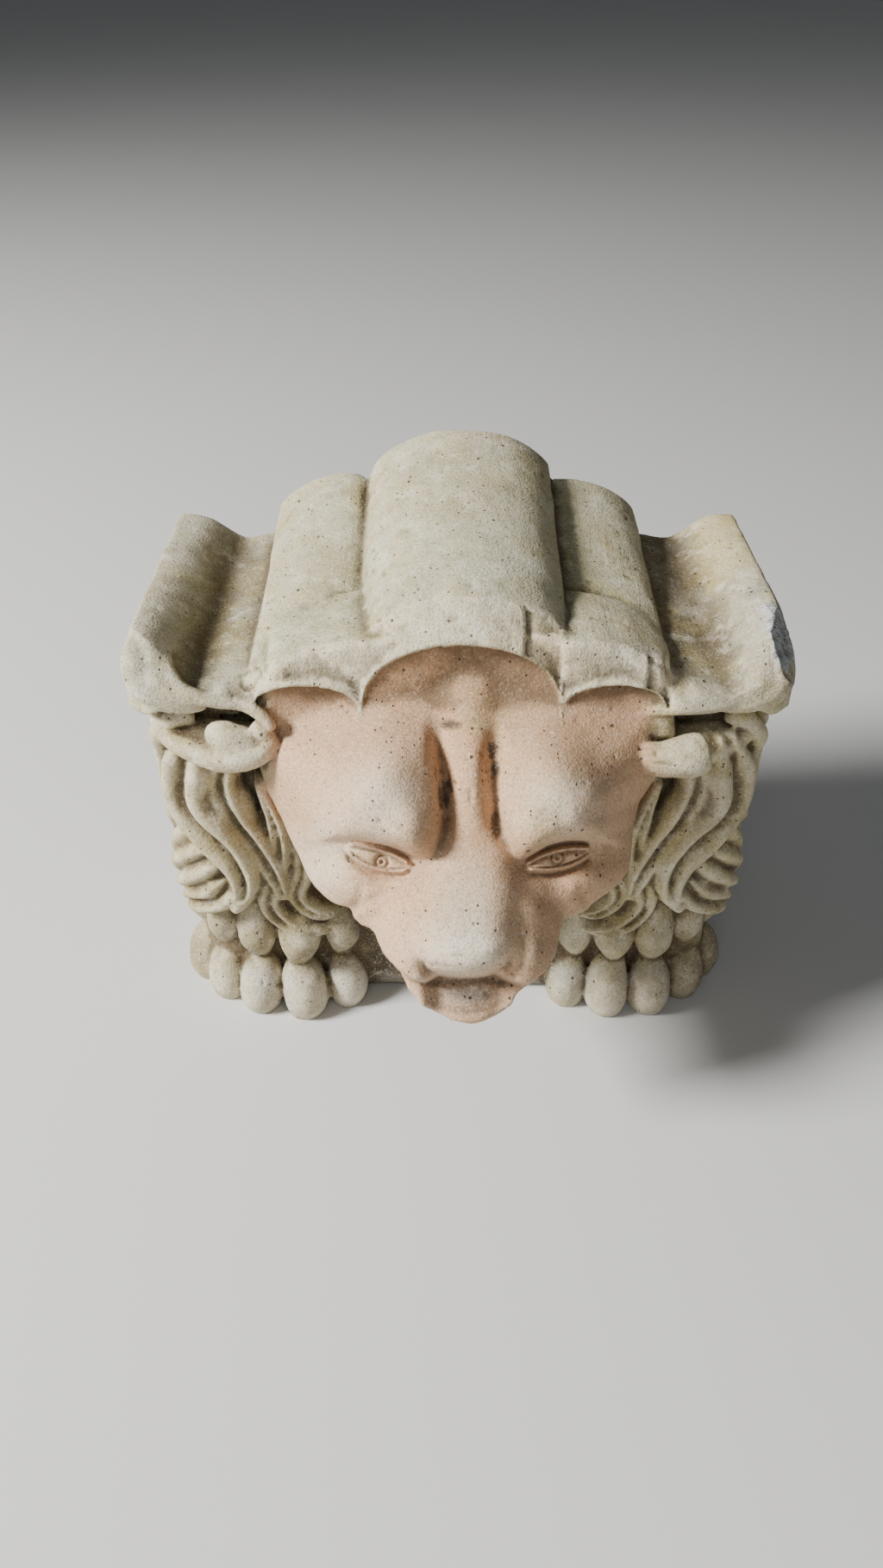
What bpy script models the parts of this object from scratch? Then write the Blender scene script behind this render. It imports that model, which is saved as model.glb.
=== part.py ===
"""Lion-headed stone bracket: a scrolled crown of rolls and wings over a bowed lion's head, mane and two paws.

Run it with: blender --background --python part.py
The stone stands on its flat base. +Z is up, the face looks along -Y, and the origin is the middle of the
underside of the bounding box.
"""

import math

import bpy
import numpy as np

# Driving sizes of the finished stone, in metres.
WIDTH = 0.140  # across the two wings
DEPTH = 0.110  # from the flat back to the tip of the nose
HEIGHT = 0.125  # from the base to the crest of the middle roll

# The carver's grid: the carving is laid out on a grid 140 across and 125 high, with y = 0 at the wings'
# front corners, and the finished clay is then fitted to the driving sizes.
BACK_LINE = 67.0  # the flat back on the grid

# How finely the clay is fused, and how many triangles the finished solid keeps.
CLAY_VOXEL = WIDTH / 150
TRIANGLES = 9400

# The crown: a wide middle roll, a narrower roll each side, and a hollow wing beyond each.
ROLL_HALF, SIDE_ROLL_CENTRE, SIDE_ROLL_HALF, WING_START, WING_END = 22.5, 33.0, 12.5, 44.5, 69.5
CROWN_FRONT, BEVEL_BACK = -2.5, 3.0
CROWN_UNDERSIDE = 90.0

# The mane lies on a wall with a rounded front corner.
WALL_FRONT, WALL_SIDE, WALL_CORNER, WALL_START = 6.0, 65.8, 11.0, 28.0

# The face is a relief on its own sloping plane, through a point between the eyes.
FACE_POINT = np.array([2.0, -24.0, 70.0])
FACE_LIFT = math.radians(38.0)
FACE_ACROSS = np.array([1.0, 0.0, 0.0])
FACE_UP = np.array([0.0, math.sin(FACE_LIFT), math.cos(FACE_LIFT)])
FACE_OUT = np.array([0.0, -math.cos(FACE_LIFT), math.sin(FACE_LIFT)])
FACE_ROOT = 22.0  # how deep the back of the head is bedded in the block

# The ears lie out sideways from the temples.
EAR_START, EAR_LENGTH = 37.0, 20.0

# The paws: toes in a bowed row.
PAW_MIDDLE, PAW_HALF, PAW_FRONT, TOES = 45.7, 17.8, 2.0, 5


def clear_scene():
    """Removes whatever the file opened with."""
    for thing in list(bpy.data.objects):
        bpy.data.objects.remove(thing, do_unlink=True)


def bell(x, middle, spread):
    """A smooth hump of height 1."""
    return np.exp(-(((x - middle) / spread) ** 2))


def mound(u, v, middle, spread):
    """A smooth round hump of height 1 on the face's plane, on both sides of it."""
    return np.exp(-(((np.abs(u) - middle[0]) / spread[0]) ** 2) - ((v - middle[1]) / spread[1]) ** 2)


def ease(x, low, high):
    """Rises smoothly from 0 at low to 1 at high."""
    t = np.clip((x - low) / (high - low), 0.0, 1.0)
    return t * t * (3.0 - 2.0 * t)


def blend_max(a, b, softness):
    """The larger of two surfaces, with a soft join."""
    return 0.5 * (a + b + np.sqrt((a - b) ** 2 + softness**2))


def arch(x, half):
    """A round arch, 1 at the middle and 0 from half outwards."""
    return np.sqrt(np.clip(1.0 - (x / half) ** 2, 0.0, 1.0))


class Clay:
    """Gathers closed shells, in grid units, into one mesh."""

    def __init__(self):
        self.points = []
        self.faces = []

    def shell(self, points, faces, mirrored=False):
        """Adds one closed shell, and its mirror image if asked."""
        for side in (1.0, -1.0) if mirrored else (1.0,):
            base = sum(len(p) for p in self.points)
            self.points.append(points * np.array([side, 1.0, 1.0]))
            order = 1 if side > 0 else -1
            self.faces += [[base + i for i in face[::order]] for face in faces]

    def loft(self, rings, mirrored=False):
        """Adds the closed body through a stack of rings, each with as many points, with a flat face at each end."""
        count, around = len(rings), len(rings[0])
        faces = [list(range(around))[::-1], [(count - 1) * around + i for i in range(around)]]
        for ring in range(count - 1):
            for i in range(around):
                a, b = ring * around + i, ring * around + (i + 1) % around
                faces.append([a, b, b + around, a + around])
        self.shell(np.concatenate(rings), faces, mirrored)

    def mesh(self, name):
        """The gathered shells as a mesh in metres, fitted to the driving sizes about the stone's origin."""
        points = np.concatenate(self.points)
        low, high = points.min(axis=0), points.max(axis=0)
        across, deep = high[0] - low[0], BACK_LINE - low[1]
        centre = np.array([(low[0] + high[0]) / 2, BACK_LINE - deep / 2, 0.0])
        points = (points - centre) * np.array([WIDTH / across, DEPTH / deep, HEIGHT / high[2]])
        made = bpy.data.meshes.new(name)
        made.from_pydata(points.tolist(), [], self.faces)
        made.validate()
        return made


def crown_top(x, back):
    """Height of the crown over x, from back = 0 at the front to 1 at the back."""
    a = np.abs(x)
    roll = 97.5 + 12.5 * back + (16.2 - 1.2 * back) * arch(x - 0.6, ROLL_HALF + 0.5) ** 0.9
    slope = (a - 20.0) / 25.0
    side = 97.5 + 7.5 * back - (3.0 + 4.5 * back) * slope
    side = side + (3.8 + 8.2 * back) * arch(a - SIDE_ROLL_CENTRE, SIDE_ROLL_HALF + 0.8) ** 0.62
    dip = 55.5 - 2.5 * back
    rise = np.where(a > dip, 10.0 - 4.0 * back, 1.6)
    wing = 94.8 + 3.5 * back + rise * (1.0 - np.exp(-(((a - dip) / 6.5) ** 2)))
    top = np.where(a < ROLL_HALF, roll, side)
    top = top + (wing - top) * ease(a, WING_START - 0.6, WING_START + 0.8)
    return top - 6.0 * ease(a, WING_END - 3.5, WING_END + 0.5) ** 2


def crown_bottom(x):
    """Height of the crown's underside: one arch under each roll, and the wings' corners turned up."""
    a = np.abs(x)
    middle = 12.5 * arch(x - 0.6, 21.5) ** 0.85
    side = 4.2 * arch(a - 32.5, 10.8) ** 0.85
    return CROWN_UNDERSIDE - 0.5 + middle + side + 1.0 * ease(a, 43.0, 50.0) + 3.5 * ease(a, 60.0, WING_END + 1) ** 2


def model_crown(clay):
    """The rolls and wings, as one body drawn from front to back."""
    x = np.linspace(-WING_END, WING_END, 281)
    bottom = crown_bottom(x)
    corner = 6.0 * ease(np.abs(x), 60.0, WING_END + 0.5) ** 2
    rings = []
    for y in (CROWN_FRONT, BEVEL_BACK, *np.linspace(8.0, BACK_LINE - 3.0, 9), BACK_LINE - 1.0, BACK_LINE + 2.0):
        back = np.clip((y - BEVEL_BACK) / (BACK_LINE - BEVEL_BACK), 0.0, 1.0)
        low = bottom + 0.6
        top = crown_top(x, back)
        if y == CROWN_FRONT:
            top = low + (top - low) * 0.5 * ease(np.abs(x), 46.5, 50.0)
        top = low + (top - low) * (1.0 - 0.14 * ease(y, BACK_LINE - 3.0, BACK_LINE + 2.0))
        under = bottom if y < 7.0 else np.full_like(x, CROWN_UNDERSIDE - 6.0)
        depth = y + corner * (1.0 - ease(y, 0.0, 20.0))
        upper = np.stack([x, depth, top], -1)
        lower = np.stack([x, depth, under], -1)
        rings.append(np.concatenate([upper, lower[::-1]]))
    clay.loft(rings[::-1])


def smooth_path(points, count):
    """Points evenly spread along a smooth curve through the given ones."""
    points = np.array(points, dtype=float)
    ends = np.concatenate([[2 * points[0] - points[1]], points, [2 * points[-1] - points[-2]]])
    place = np.linspace(0.0, len(points) - 1.0, count)
    first = np.minimum(place.astype(int), len(points) - 2)
    t = (place - first)[:, None]
    a, b, c, d = (ends[first + i] for i in range(4))
    return b + 0.5 * t * (c - a + t * (2 * a - 5 * b + 4 * c - d + t * (3 * (b - c) + d - a)))


def model_strand(clay, points, radii, flat=1.0, mirrored=True, count=28, around=18):
    """A rounded strand along a smooth curve; its radius eases between the ones given."""
    path = smooth_path(points, count)
    radius = np.interp(np.linspace(0, 1, count), np.linspace(0, 1, len(radii)), radii)
    run = np.gradient(path, axis=0)
    run = run / np.linalg.norm(run, axis=1)[:, None]
    across = np.cross(run, np.array([0.0, 1.0, 0.0]))
    across = across / np.maximum(np.linalg.norm(across, axis=1), 1e-6)[:, None]
    out = np.cross(across, run)
    turn = np.linspace(0, 2 * math.pi, around, endpoint=False)
    rings = []
    for centre, side, up, r in zip(path, across, out, radius):
        rings.append(centre + r * (np.cos(turn)[:, None] * side + flat * np.sin(turn)[:, None] * up))
    clay.loft(rings, mirrored)


def model_wing_rims(clay):
    """The wings' rolled front rims, which run on to the ears, and the tufts round the outer corners."""
    rim = [(62, 6, 102), (62.5, 1, 99), (59, -1.5, 94.5), (52, -2, 92.6), (46, -1.5, 92.6), (41, -3.5, 90), (38.5, -4.5, 86)]
    model_strand(clay, rim, (1.4, 2.0, 2.2, 2.2, 2.2, 2.2, 1.8))
    tuft = [(67.2, 12, 103), (67.2, 5, 100), (65.0, 1.5, 94.5), (60, 1, 90), (53, 2.5, 88)]
    model_strand(clay, tuft, (1.8, 2.6, 3.2, 3.2, 2.6))


def wall(s, z, height):
    """The point at that distance round the mane's wall and that height off it, with the wall's normal."""
    front_run = WALL_SIDE - WALL_CORNER - WALL_START
    turn = np.clip((s - front_run) / WALL_CORNER, 0.0, math.pi / 2)
    past = np.clip(s - front_run - WALL_CORNER * math.pi / 2, 0.0, None)
    x = np.where(s < front_run, WALL_START + s, WALL_SIDE - WALL_CORNER + WALL_CORNER * np.sin(turn))
    y = WALL_FRONT + WALL_CORNER * (1.0 - np.cos(turn)) + past
    normal = np.stack([np.sin(turn), -np.cos(turn), np.zeros_like(turn)], -1)
    return np.stack([x, y, z], -1) + normal * np.asarray(height)[..., None], normal


def model_block(clay):
    """The plain block behind the head, between the mane's two walls."""
    rings = []
    for z, inset in ((-2.0, 1.0), (8.0, 1.0), (30.0, 1.0), (60.0, 0.5), (88.0, 0.0), (96.0, 2.0)):
        side, front, corner = WALL_SIDE - inset, WALL_FRONT + 1.5 + inset, WALL_CORNER
        turns = np.linspace(0.0, math.pi / 2, 9)
        right = [(side - corner + corner * math.sin(t), front + corner * (1 - math.cos(t))) for t in turns]
        ring = right + [(side, BACK_LINE + 2.0), (-side, BACK_LINE + 2.0)] + [(-x, y) for x, y in right[::-1]]
        rings.append(np.array([(x, y, z) for x, y in ring]))
    clay.loft(rings)


def face_outline(angle):
    """How far the face's edge lies from its centre, in that direction on its plane."""
    edge = [
        (0.0, 44.0), (20.0, 38.0), (33.0, 38.0), (44.5, 34.0), (43.5, 22.0), (40.0, 12.5), (37.6, 5.0),
        (36.6, -2.0), (34.6, -7.0), (30.5, -9.0), (27.6, -9.6), (25.6, -12.4), (21.6, -13.2), (19.2, -16.0),
        (18.2, -20.0), (15.2, -25.0), (11.6, -28.2), (8.6, -31.0), (6.2, -34.0), (3.0, -36.2), (0.0, -36.8),
    ]
    edge = np.array(edge)
    turned = np.arctan2(edge[:, 1], edge[:, 0])
    reach = np.hypot(edge[:, 0], edge[:, 1])
    folded = np.arctan2(np.sin(angle), np.abs(np.cos(angle)))
    return np.interp(folded, turned[::-1], reach[::-1])


def face_relief(u, v):
    """How far the face stands out of its plane."""
    a = np.abs(u)
    bow = np.interp(v, [10, 32], [0.0125, 0.0065])
    skull = 1.8 - bow * u**2 - 0.0035 * (v - 15.0) ** 2 - 0.014 * np.clip(2.0 - v, 0.0, None) ** 2
    skull = skull - 0.12 * np.clip(a - 36.0, 0.0, None) ** 2 * ease(v, 12.0, 28.0)

    nose_v = [-27, -25.6, -24.4, -22.8, -20.5, -17.5, -9.2, -1, 6, 17, 25, 31, 36, 44]
    nose_w = [-14, -4.0, 2.0, 6.6, 8.6, 8.6, 6.2, 3.4, 2.6, 1.8, 0.6, -1.0, -1.0, -1.0]
    nose_half = np.interp(v, [-24, -20, -14, -6, 2, 8, 30], [8.0, 10.0, 9.6, 8.6, 7.2, 5.2, 5.6])
    nose = np.interp(v, nose_v, nose_w) - 5.0 * (a / nose_half) ** 3

    drop = np.abs(v + 16.0 - 0.022 * np.clip(a - 7.0, 0.0, None) ** 2)
    pads = 4.6 - 12.0 * (np.clip(a - 8.5, 0.0, None) / 10.0) ** 2.3 - 6.2 * (drop / 9.6) ** 2.8
    chin_w = np.interp(v, [-42, -38, -36.5, -34, -31, -28.5, -27, -25.5, -24], [-30, -21, -16, -11.2, -7.6, -5.4, -5.0, -6.4, -9])
    chin = chin_w - 7.0 * (a / np.interp(v, [-37, -33, -28], [6.5, 9.5, 10.5])) ** 3

    brow_edge = np.interp(a, [0, 5, 8, 11, 14, 18, 22, 27, 34], [3.0, 1.5, -1.5, -1.4, 0.6, 2.2, 2.9, 2.4, 0.0])
    over_eye = ease(v - brow_edge, -0.8, 0.9)
    brow = 7.6 * mound(u, v, (19.0, 14.5), (10.5, 12.0)) + 4.4 * mound(u, v, (11.5, 5.0), (5.0, 6.5))
    brow = brow + 2.6 * mound(u, v, (26.5, 8.5), (8.0, 7.0))
    under = -4.4 * mound(u, v, (18.5, -1.0), (9.5, 5.0)) + 3.2 * mound(u, v, (18.3, -0.4), (5.0, 2.6))
    held = ease(a, 4.5, 8.5) * (1.0 - ease(a, 27.0, 34.0))
    skull = skull + brow * (1.0 - held * (1.0 - over_eye)) + under * held * (1.0 - over_eye)

    skull = skull + 3.8 * mound(u, v, (27.5, -4.0), (6.5, 4.5)) - 1.6 * mound(u, v, (33.0, 20.0), (4.5, 8.0))
    face = blend_max(blend_max(blend_max(skull, pads, 2.0), chin, 0.6), nose, 1.4)
    furrow = bell(a, 6.0 + 0.05 * (10.0 - v), 2.2 + 0.05 * (14.0 - v)) * ease(v, -1.0, 8.0) * (1.0 - ease(v, 12.0, 27.0))
    crease = bell(a, 10.8 - 0.2 * (v + 20.0), 1.3) * ease(v, -23.0, -20.5) * (1.0 - ease(v, -18.5, -12.0))
    mouth = bell(v, -25.4 + 0.012 * a**2, 0.9) * (1.0 - ease(a, 12.0, 16.0))
    face = face - 4.4 * furrow - 1.3 * crease - 2.4 * mouth

    middle_hollow = 4.0 * np.exp(-((u / 12.0) ** 2) - ((v - 31.5) / 5.5) ** 2)
    middle_lip = 3.4 * ease(v, 33.5, 39.0) * (1.0 - ease(a, 15.0, 20.0))
    side_hollow = 2.6 * mound(u, v, (31.0, 27.5), (7.5, 5.0))
    notch_dip = 2.2 * mound(u, v, (20.5, 31.0), (3.5, 5.0))
    return face - middle_hollow + middle_lip - side_hollow - notch_dip


def face_points(u, v, w):
    """Points on the face's plane, raised by w, in the stone's grid."""
    return FACE_POINT + u[..., None] * FACE_ACROSS + v[..., None] * FACE_UP + w[..., None] * FACE_OUT


def model_face(clay):
    """The head: a carved relief whose edge runs straight back into the block."""
    angles = np.linspace(0.0, 2 * math.pi, 240, endpoint=False)
    reach = face_outline(angles)
    rings = []
    for share in np.linspace(0.004, 1.0, 90):
        u, v = share * reach * np.cos(angles), share * reach * np.sin(angles)
        rounding = 3.0 * ease(share, 0.93, 1.0) ** 2
        rings.append(face_points(u, v, face_relief(u, v) - rounding))
    for run, lift in ((0.45, 0.0), (1.0, 0.3)):
        root = rings[-1].copy()
        root[:, 1] += (FACE_ROOT - root[:, 1]) * run
        root[:, 2] += np.clip(52.0 - root[:, 2], 0.0, None) * lift
        rings.append(root)
    clay.loft(rings)


def model_ear(clay):
    """An ear laid out sideways under the wing: a cupped tongue with a rolled lower rim, and the hair beyond it."""
    turn = np.linspace(0, 2 * math.pi, 44, endpoint=False)
    rings = []
    for t in np.linspace(0.02, 1.0, 34):
        swell = math.sqrt(max(0.01, 1.0 - t**5)) * (0.75 + 0.25 * math.sin(math.pi * t))
        cup = 0.6 * ease(t, 0.05, 0.25) * (1.0 - ease(t, 0.55, 0.85)) * np.exp(-(((turn - 0.75) / 0.6) ** 2))
        reach = swell * (1.0 - cup)
        y = 3.0 - 2.0 * t - 7.6 * reach * np.sin(turn)
        z = 80.0 - 1.0 * t + 6.0 * reach * np.cos(turn)
        rings.append(np.stack([np.full(44, EAR_START + EAR_LENGTH * t), y, z], -1))
    clay.loft(rings, mirrored=True)
    rim = [(38, -6, 85), (40, -7, 80), (46, -5.5, 76.3), (54, -3, 75.8), (60, 1, 78), (63, 5, 82)]
    model_strand(clay, rim, (1.6, 2.1, 2.3, 2.3, 2.0, 1.6))
    hair = [(44, 9, 84), (52, 7, 86), (60, 6, 86), (64.5, 10, 80), (65, 14, 74)]
    model_strand(clay, hair, (6.5, 7.5, 6.0, 4.5, 3.0))


def lock_rings(root, tip, sway, width, thick, ribs=3, hook=0.0, lift=0.0, count=40, around=44):
    """One ribbed lock of hair on the mane's wall, from root to tip, each as distance round the wall and height.

    sway bends it into an S, hook carries its tip aside, and lift holds it off the wall.
    """
    root, tip = np.array(root), np.array(tip)
    t = np.linspace(0.0, 1.0, count)
    along = tip - root
    side = np.array([along[1], -along[0]]) / np.hypot(*along)
    swing = sway * np.sin(2 * math.pi * t) + hook * ease(t, 0.6, 1.05) ** 2
    path = root + t[:, None] * along + swing[:, None] * side
    slope = np.gradient(path, axis=0)
    slope = slope / np.hypot(slope[:, 0], slope[:, 1])[:, None]
    turn = np.linspace(0, 2 * math.pi, around, endpoint=False)
    spread = np.cos(turn)
    ridge = np.abs(np.cos(math.pi * (ribs * spread + ribs - 1) / 2)) ** 0.7
    rings = []
    for i, share in enumerate(t):
        full = min(1.0, 0.45 + 2.2 * share) * math.sqrt(max(0.015, 1.0 - max(0.0, (share - 0.6) / 0.4) ** 2.4))
        across = width * 0.5 * full * spread
        out = thick * (0.35 + 0.65 * full) * np.sin(turn) * (1.0 - 0.45 * (1.0 - ridge))
        s = path[i, 0] - slope[i, 1] * across
        z = path[i, 1] + slope[i, 0] * across
        rings.append(wall(s, z, np.where(np.sin(turn) > 0, out + lift, -1.5))[0])
    return rings


def model_mane(clay):
    """The locks: swaying ones beside the face, leaf-shaped ones at the corner, and rows along each side."""
    front = [
        # root, tip, sway, width, thick, ribs, hook, lift
        ((32.0, 84.0), (23.0, 35.0), -5.4, 11.0, 5.4, 3, 4.0, 2.2),
        ((24.5, 80.0), (17.0, 34.0), -4.0, 7.0, 4.6, 2, 2.0, 1.4),
        ((41.0, 84.0), (32.0, 54.0), -5.0, 9.5, 4.6, 3, 5.0, 0.6),
        ((16.0, 70.0), (14.0, 36.0), 2.4, 5.0, 3.6, 1, 0.0, 0.4),
        ((20.0, 43.0), (3.0, 23.0), -3.0, 7.0, 5.2, 2, -2.0, 1.0),
        ((29.0, 60.0), (41.0, 36.0), 3.0, 11.0, 4.6, 3, -4.0, 0.4),
        ((27.0, 45.0), (39.5, 25.0), 2.4, 10.0, 4.6, 3, -4.0, 0.6),
        ((38.0, 66.0), (45.0, 42.0), 2.0, 8.0, 4.0, 2, -3.0, 0.2),
        ((24.0, 44.0), (28.0, 29.0), 1.2, 6.5, 4.6, 2, 0.0, 0.8),
    ]
    for root, tip, sway, width, thick, ribs, hook, lift in front:
        clay.loft(lock_rings(root, tip, sway, width, thick, ribs, hook, lift), mirrored=True)
    for row, (high, low) in enumerate(((88.0, 56.0), (64.0, 33.0), (42.0, 12.0))):
        for i in range(5):
            start = 49.0 + 10.5 * i + 5.0 * (row % 2)
            rings = lock_rings((start - 3.0, high), (start + 3.0, low), 3.0, 11.0, 3.6, 3, 3.0, 0.0)
            clay.loft(rings, mirrored=True)


def toe_rings(share):
    """One toe, from -1 at the inner one to 1 at the outer one: a rounded tip, a pinch, then the knuckle."""
    profile = [
        # height, lean outwards from the paw's middle, half width
        (-2.0, 0.2, 4.6), (1.0, 0.6, 5.6), (5.0, 1.1, 6.5), (9.0, 1.0, 6.6), (13.0, 0.5, 6.0),
        (17.0, -0.6, 4.3), (19.0, -0.9, 3.9), (22.0, -0.6, 4.8), (26.5, -0.4, 5.7), (31.0, -1.6, 5.2),
        (36.0, -4.4, 4.4), (42.0, -9.0, 3.4),
    ]
    heights, leans, halves = (np.array([p[i] for p in profile]) for i in range(3))
    x = PAW_MIDDLE + PAW_HALF * share
    y = PAW_FRONT + 9.0 * share**2 + 2.0 * share
    outward = np.array([0.8 * share, -1.0]) / math.hypot(0.8 * share, 1.0)
    turn = np.linspace(0, 2 * math.pi, 28, endpoint=False)
    rings = []
    for z in np.linspace(heights[0], heights[-1], 36):
        half, lean = np.interp(z, heights, halves), np.interp(z, heights, leans)
        ring_x = x + outward[0] * lean + half * np.cos(turn)
        ring_y = y + outward[1] * lean + half * np.sin(turn)
        rings.append(np.stack([ring_x, ring_y, np.full(28, z)], -1))
    return rings


def model_paws(clay):
    """Two paws of five toes each, with the pad behind them that carries the stone."""
    for toe in range(TOES):
        clay.loft(toe_rings(2.0 * toe / (TOES - 1) - 1.0), mirrored=True)
    turn = np.linspace(0, 2 * math.pi, 40, endpoint=False)
    rings = []
    for z, swell in ((-2.0, 1.0), (10.0, 1.03), (19.0, 0.92), (28.0, 0.98), (40.0, 0.85)):
        x = PAW_MIDDLE + swell * (PAW_HALF + 1.0) * np.cos(turn)
        rings.append(np.stack([x, PAW_FRONT + 15.5 + 12.5 * swell * np.sin(turn), np.full(40, z)], -1))
    clay.loft(rings, mirrored=True)


def stone_material():
    """Weathered pale stone."""
    made = bpy.data.materials.new("weathered_stone")
    made.use_nodes = True
    shader = made.node_tree.nodes["Principled BSDF"]
    shader.inputs["Base Color"].default_value = (0.50, 0.43, 0.33, 1.0)
    shader.inputs["Roughness"].default_value = 0.9
    shader.inputs["Metallic"].default_value = 0.0
    return made


def evaluated_triangles(thing):
    """How many triangles the object has with its modifiers."""
    seen = thing.evaluated_get(bpy.context.evaluated_depsgraph_get())
    return sum(len(face.vertices) - 2 for face in seen.to_mesh().polygons)


def cutter_box(name, low, high):
    """A box, in metres, that only cuts."""
    corners = [(x, y, z) for x in (low[0], high[0]) for y in (low[1], high[1]) for z in (low[2], high[2])]
    faces = [(0, 1, 3, 2), (4, 6, 7, 5), (0, 4, 5, 1), (2, 3, 7, 6), (0, 2, 6, 4), (1, 5, 7, 3)]
    mesh = bpy.data.meshes.new(name)
    mesh.from_pydata(corners, [], faces)
    box = bpy.data.objects.new(name, mesh)
    box.hide_render = True
    box.display_type = "WIRE"
    bpy.context.scene.collection.objects.link(box)
    return box


def main():
    """Builds the stone."""
    clear_scene()
    clay = Clay()
    model_crown(clay)
    model_wing_rims(clay)
    model_block(clay)
    model_face(clay)
    model_ear(clay)
    model_mane(clay)
    model_paws(clay)

    stone = bpy.data.objects.new("lion_gargoyle", clay.mesh("lion_gargoyle"))
    stone.data.materials.append(stone_material())
    bpy.context.scene.collection.objects.link(stone)

    fuse = stone.modifiers.new("fuse", "REMESH")
    fuse.mode = "VOXEL"
    fuse.voxel_size = CLAY_VOXEL
    soften = stone.modifiers.new("soften", "SMOOTH")
    soften.factor = 0.5
    soften.iterations = 2
    clay_faces = evaluated_triangles(stone)
    thin = stone.modifiers.new("thin", "DECIMATE")
    thin.ratio = TRIANGLES / clay_faces
    for name, low, high in (
        ("floor", (-WIDTH, -DEPTH, -HEIGHT / 4), (WIDTH, DEPTH, 0.0)),
        ("back", (-WIDTH, DEPTH / 2, -HEIGHT / 2), (WIDTH, DEPTH, HEIGHT * 1.3)),
    ):
        cut = stone.modifiers.new(name, "BOOLEAN")
        cut.object = cutter_box(f"{name}_cutter", low, high)
        cut.operation = "DIFFERENCE"
    return stone


main()
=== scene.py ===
"""Dresses the lion bracket: one carved stone, weathered as it was found, on a pale floor in soft light.

The carving is laid out on the carver's grid that the solid uses too: 140 steps across, 125 steps high, with
y = 0 at the front corners of the wings. The clay lumps are drawn out of plain primitives on that grid, fused,
carved, and then fitted to the solid's own box in metres.
"""

import logging
import math
from dataclasses import dataclass, field
from enum import Enum
from typing import Callable, Sequence

import bpy
import numpy as np
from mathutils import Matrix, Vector


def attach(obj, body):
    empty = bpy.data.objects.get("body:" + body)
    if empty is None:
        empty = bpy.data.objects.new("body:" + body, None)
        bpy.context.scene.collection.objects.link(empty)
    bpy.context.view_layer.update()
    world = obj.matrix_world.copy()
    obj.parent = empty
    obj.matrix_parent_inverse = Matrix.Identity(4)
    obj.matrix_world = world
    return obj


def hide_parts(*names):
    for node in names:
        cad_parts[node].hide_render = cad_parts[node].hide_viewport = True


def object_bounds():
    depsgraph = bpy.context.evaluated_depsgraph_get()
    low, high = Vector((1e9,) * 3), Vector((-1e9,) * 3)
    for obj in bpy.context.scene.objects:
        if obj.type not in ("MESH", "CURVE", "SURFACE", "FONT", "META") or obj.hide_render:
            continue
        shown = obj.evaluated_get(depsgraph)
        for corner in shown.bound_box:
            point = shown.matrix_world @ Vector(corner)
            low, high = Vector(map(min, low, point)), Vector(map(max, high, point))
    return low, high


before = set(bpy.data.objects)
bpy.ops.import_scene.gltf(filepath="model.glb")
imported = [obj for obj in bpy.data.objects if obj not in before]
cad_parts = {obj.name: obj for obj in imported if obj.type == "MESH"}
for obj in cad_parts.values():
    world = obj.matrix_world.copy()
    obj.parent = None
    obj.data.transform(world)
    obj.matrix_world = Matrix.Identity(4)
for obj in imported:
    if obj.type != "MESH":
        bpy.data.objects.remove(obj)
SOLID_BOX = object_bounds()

NODE = "lion_gargoyle"
log = logging.getLogger("lion_bracket")

Array = np.ndarray
Piece = bpy.types.Object
Socket = bpy.types.NodeSocket
Pair = tuple[float, float]
Triple = tuple[float, float, float]
Shape = Callable[[Array, Array], Array]
Cut = tuple[float, float, Sequence[Pair]]
Mound = tuple[float, Pair, Pair]


class Side(Enum):
    """The two sides of the stone, as the viewer sees them."""

    LEFT = -1
    RIGHT = 1


# Small sums used all over the carving.


def ease(x: Array, low: float, high: float) -> Array:
    """Rises smoothly from 0 at low to 1 at high.

    Args:
        x: Where to read it.
        low: Where the rise starts.
        high: Where the rise ends.

    Returns:
        Values from 0 to 1.
    """
    t = np.clip((x - low) / (high - low), 0.0, 1.0)
    return t * t * (3.0 - 2.0 * t)


def bell(x: Array, middle: float, spread: float) -> Array:
    """A smooth hump of height 1 about middle."""
    return np.exp(-(((x - middle) / spread) ** 2))


def bump(u: Array, v: Array, at: Pair, spread: Pair) -> Array:
    """A smooth mound of height 1 on a plane."""
    return np.exp(-(((u - at[0]) / spread[0]) ** 2) - ((v - at[1]) / spread[1]) ** 2)


def mounds(u: Array, v: Array, rows: Sequence[Mound]) -> Array:
    """Mounds on a plane, added up: how high, where and how wide each is."""
    return sum(high * bump(u, v, at, spread) for high, at, spread in rows)


def how_far(points: Array, at: Triple, size: Triple) -> Array:
    """How far points lie from a place, counted in an egg's half sizes."""
    return np.linalg.norm((points - np.array(at)) / np.array(size), axis=1)


def arch(x: Array, half: float) -> Array:
    """A round arch: 1 at the middle and 0 from half outwards."""
    return np.sqrt(np.clip(1.0 - (x / half) ** 2, 0.0, 1.0))


def soft_max(a: Array, b: Array, softness: float) -> Array:
    """The larger of two surfaces, with a rounded join."""
    return 0.5 * (a + b + np.sqrt((a - b) ** 2 + softness**2))


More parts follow.
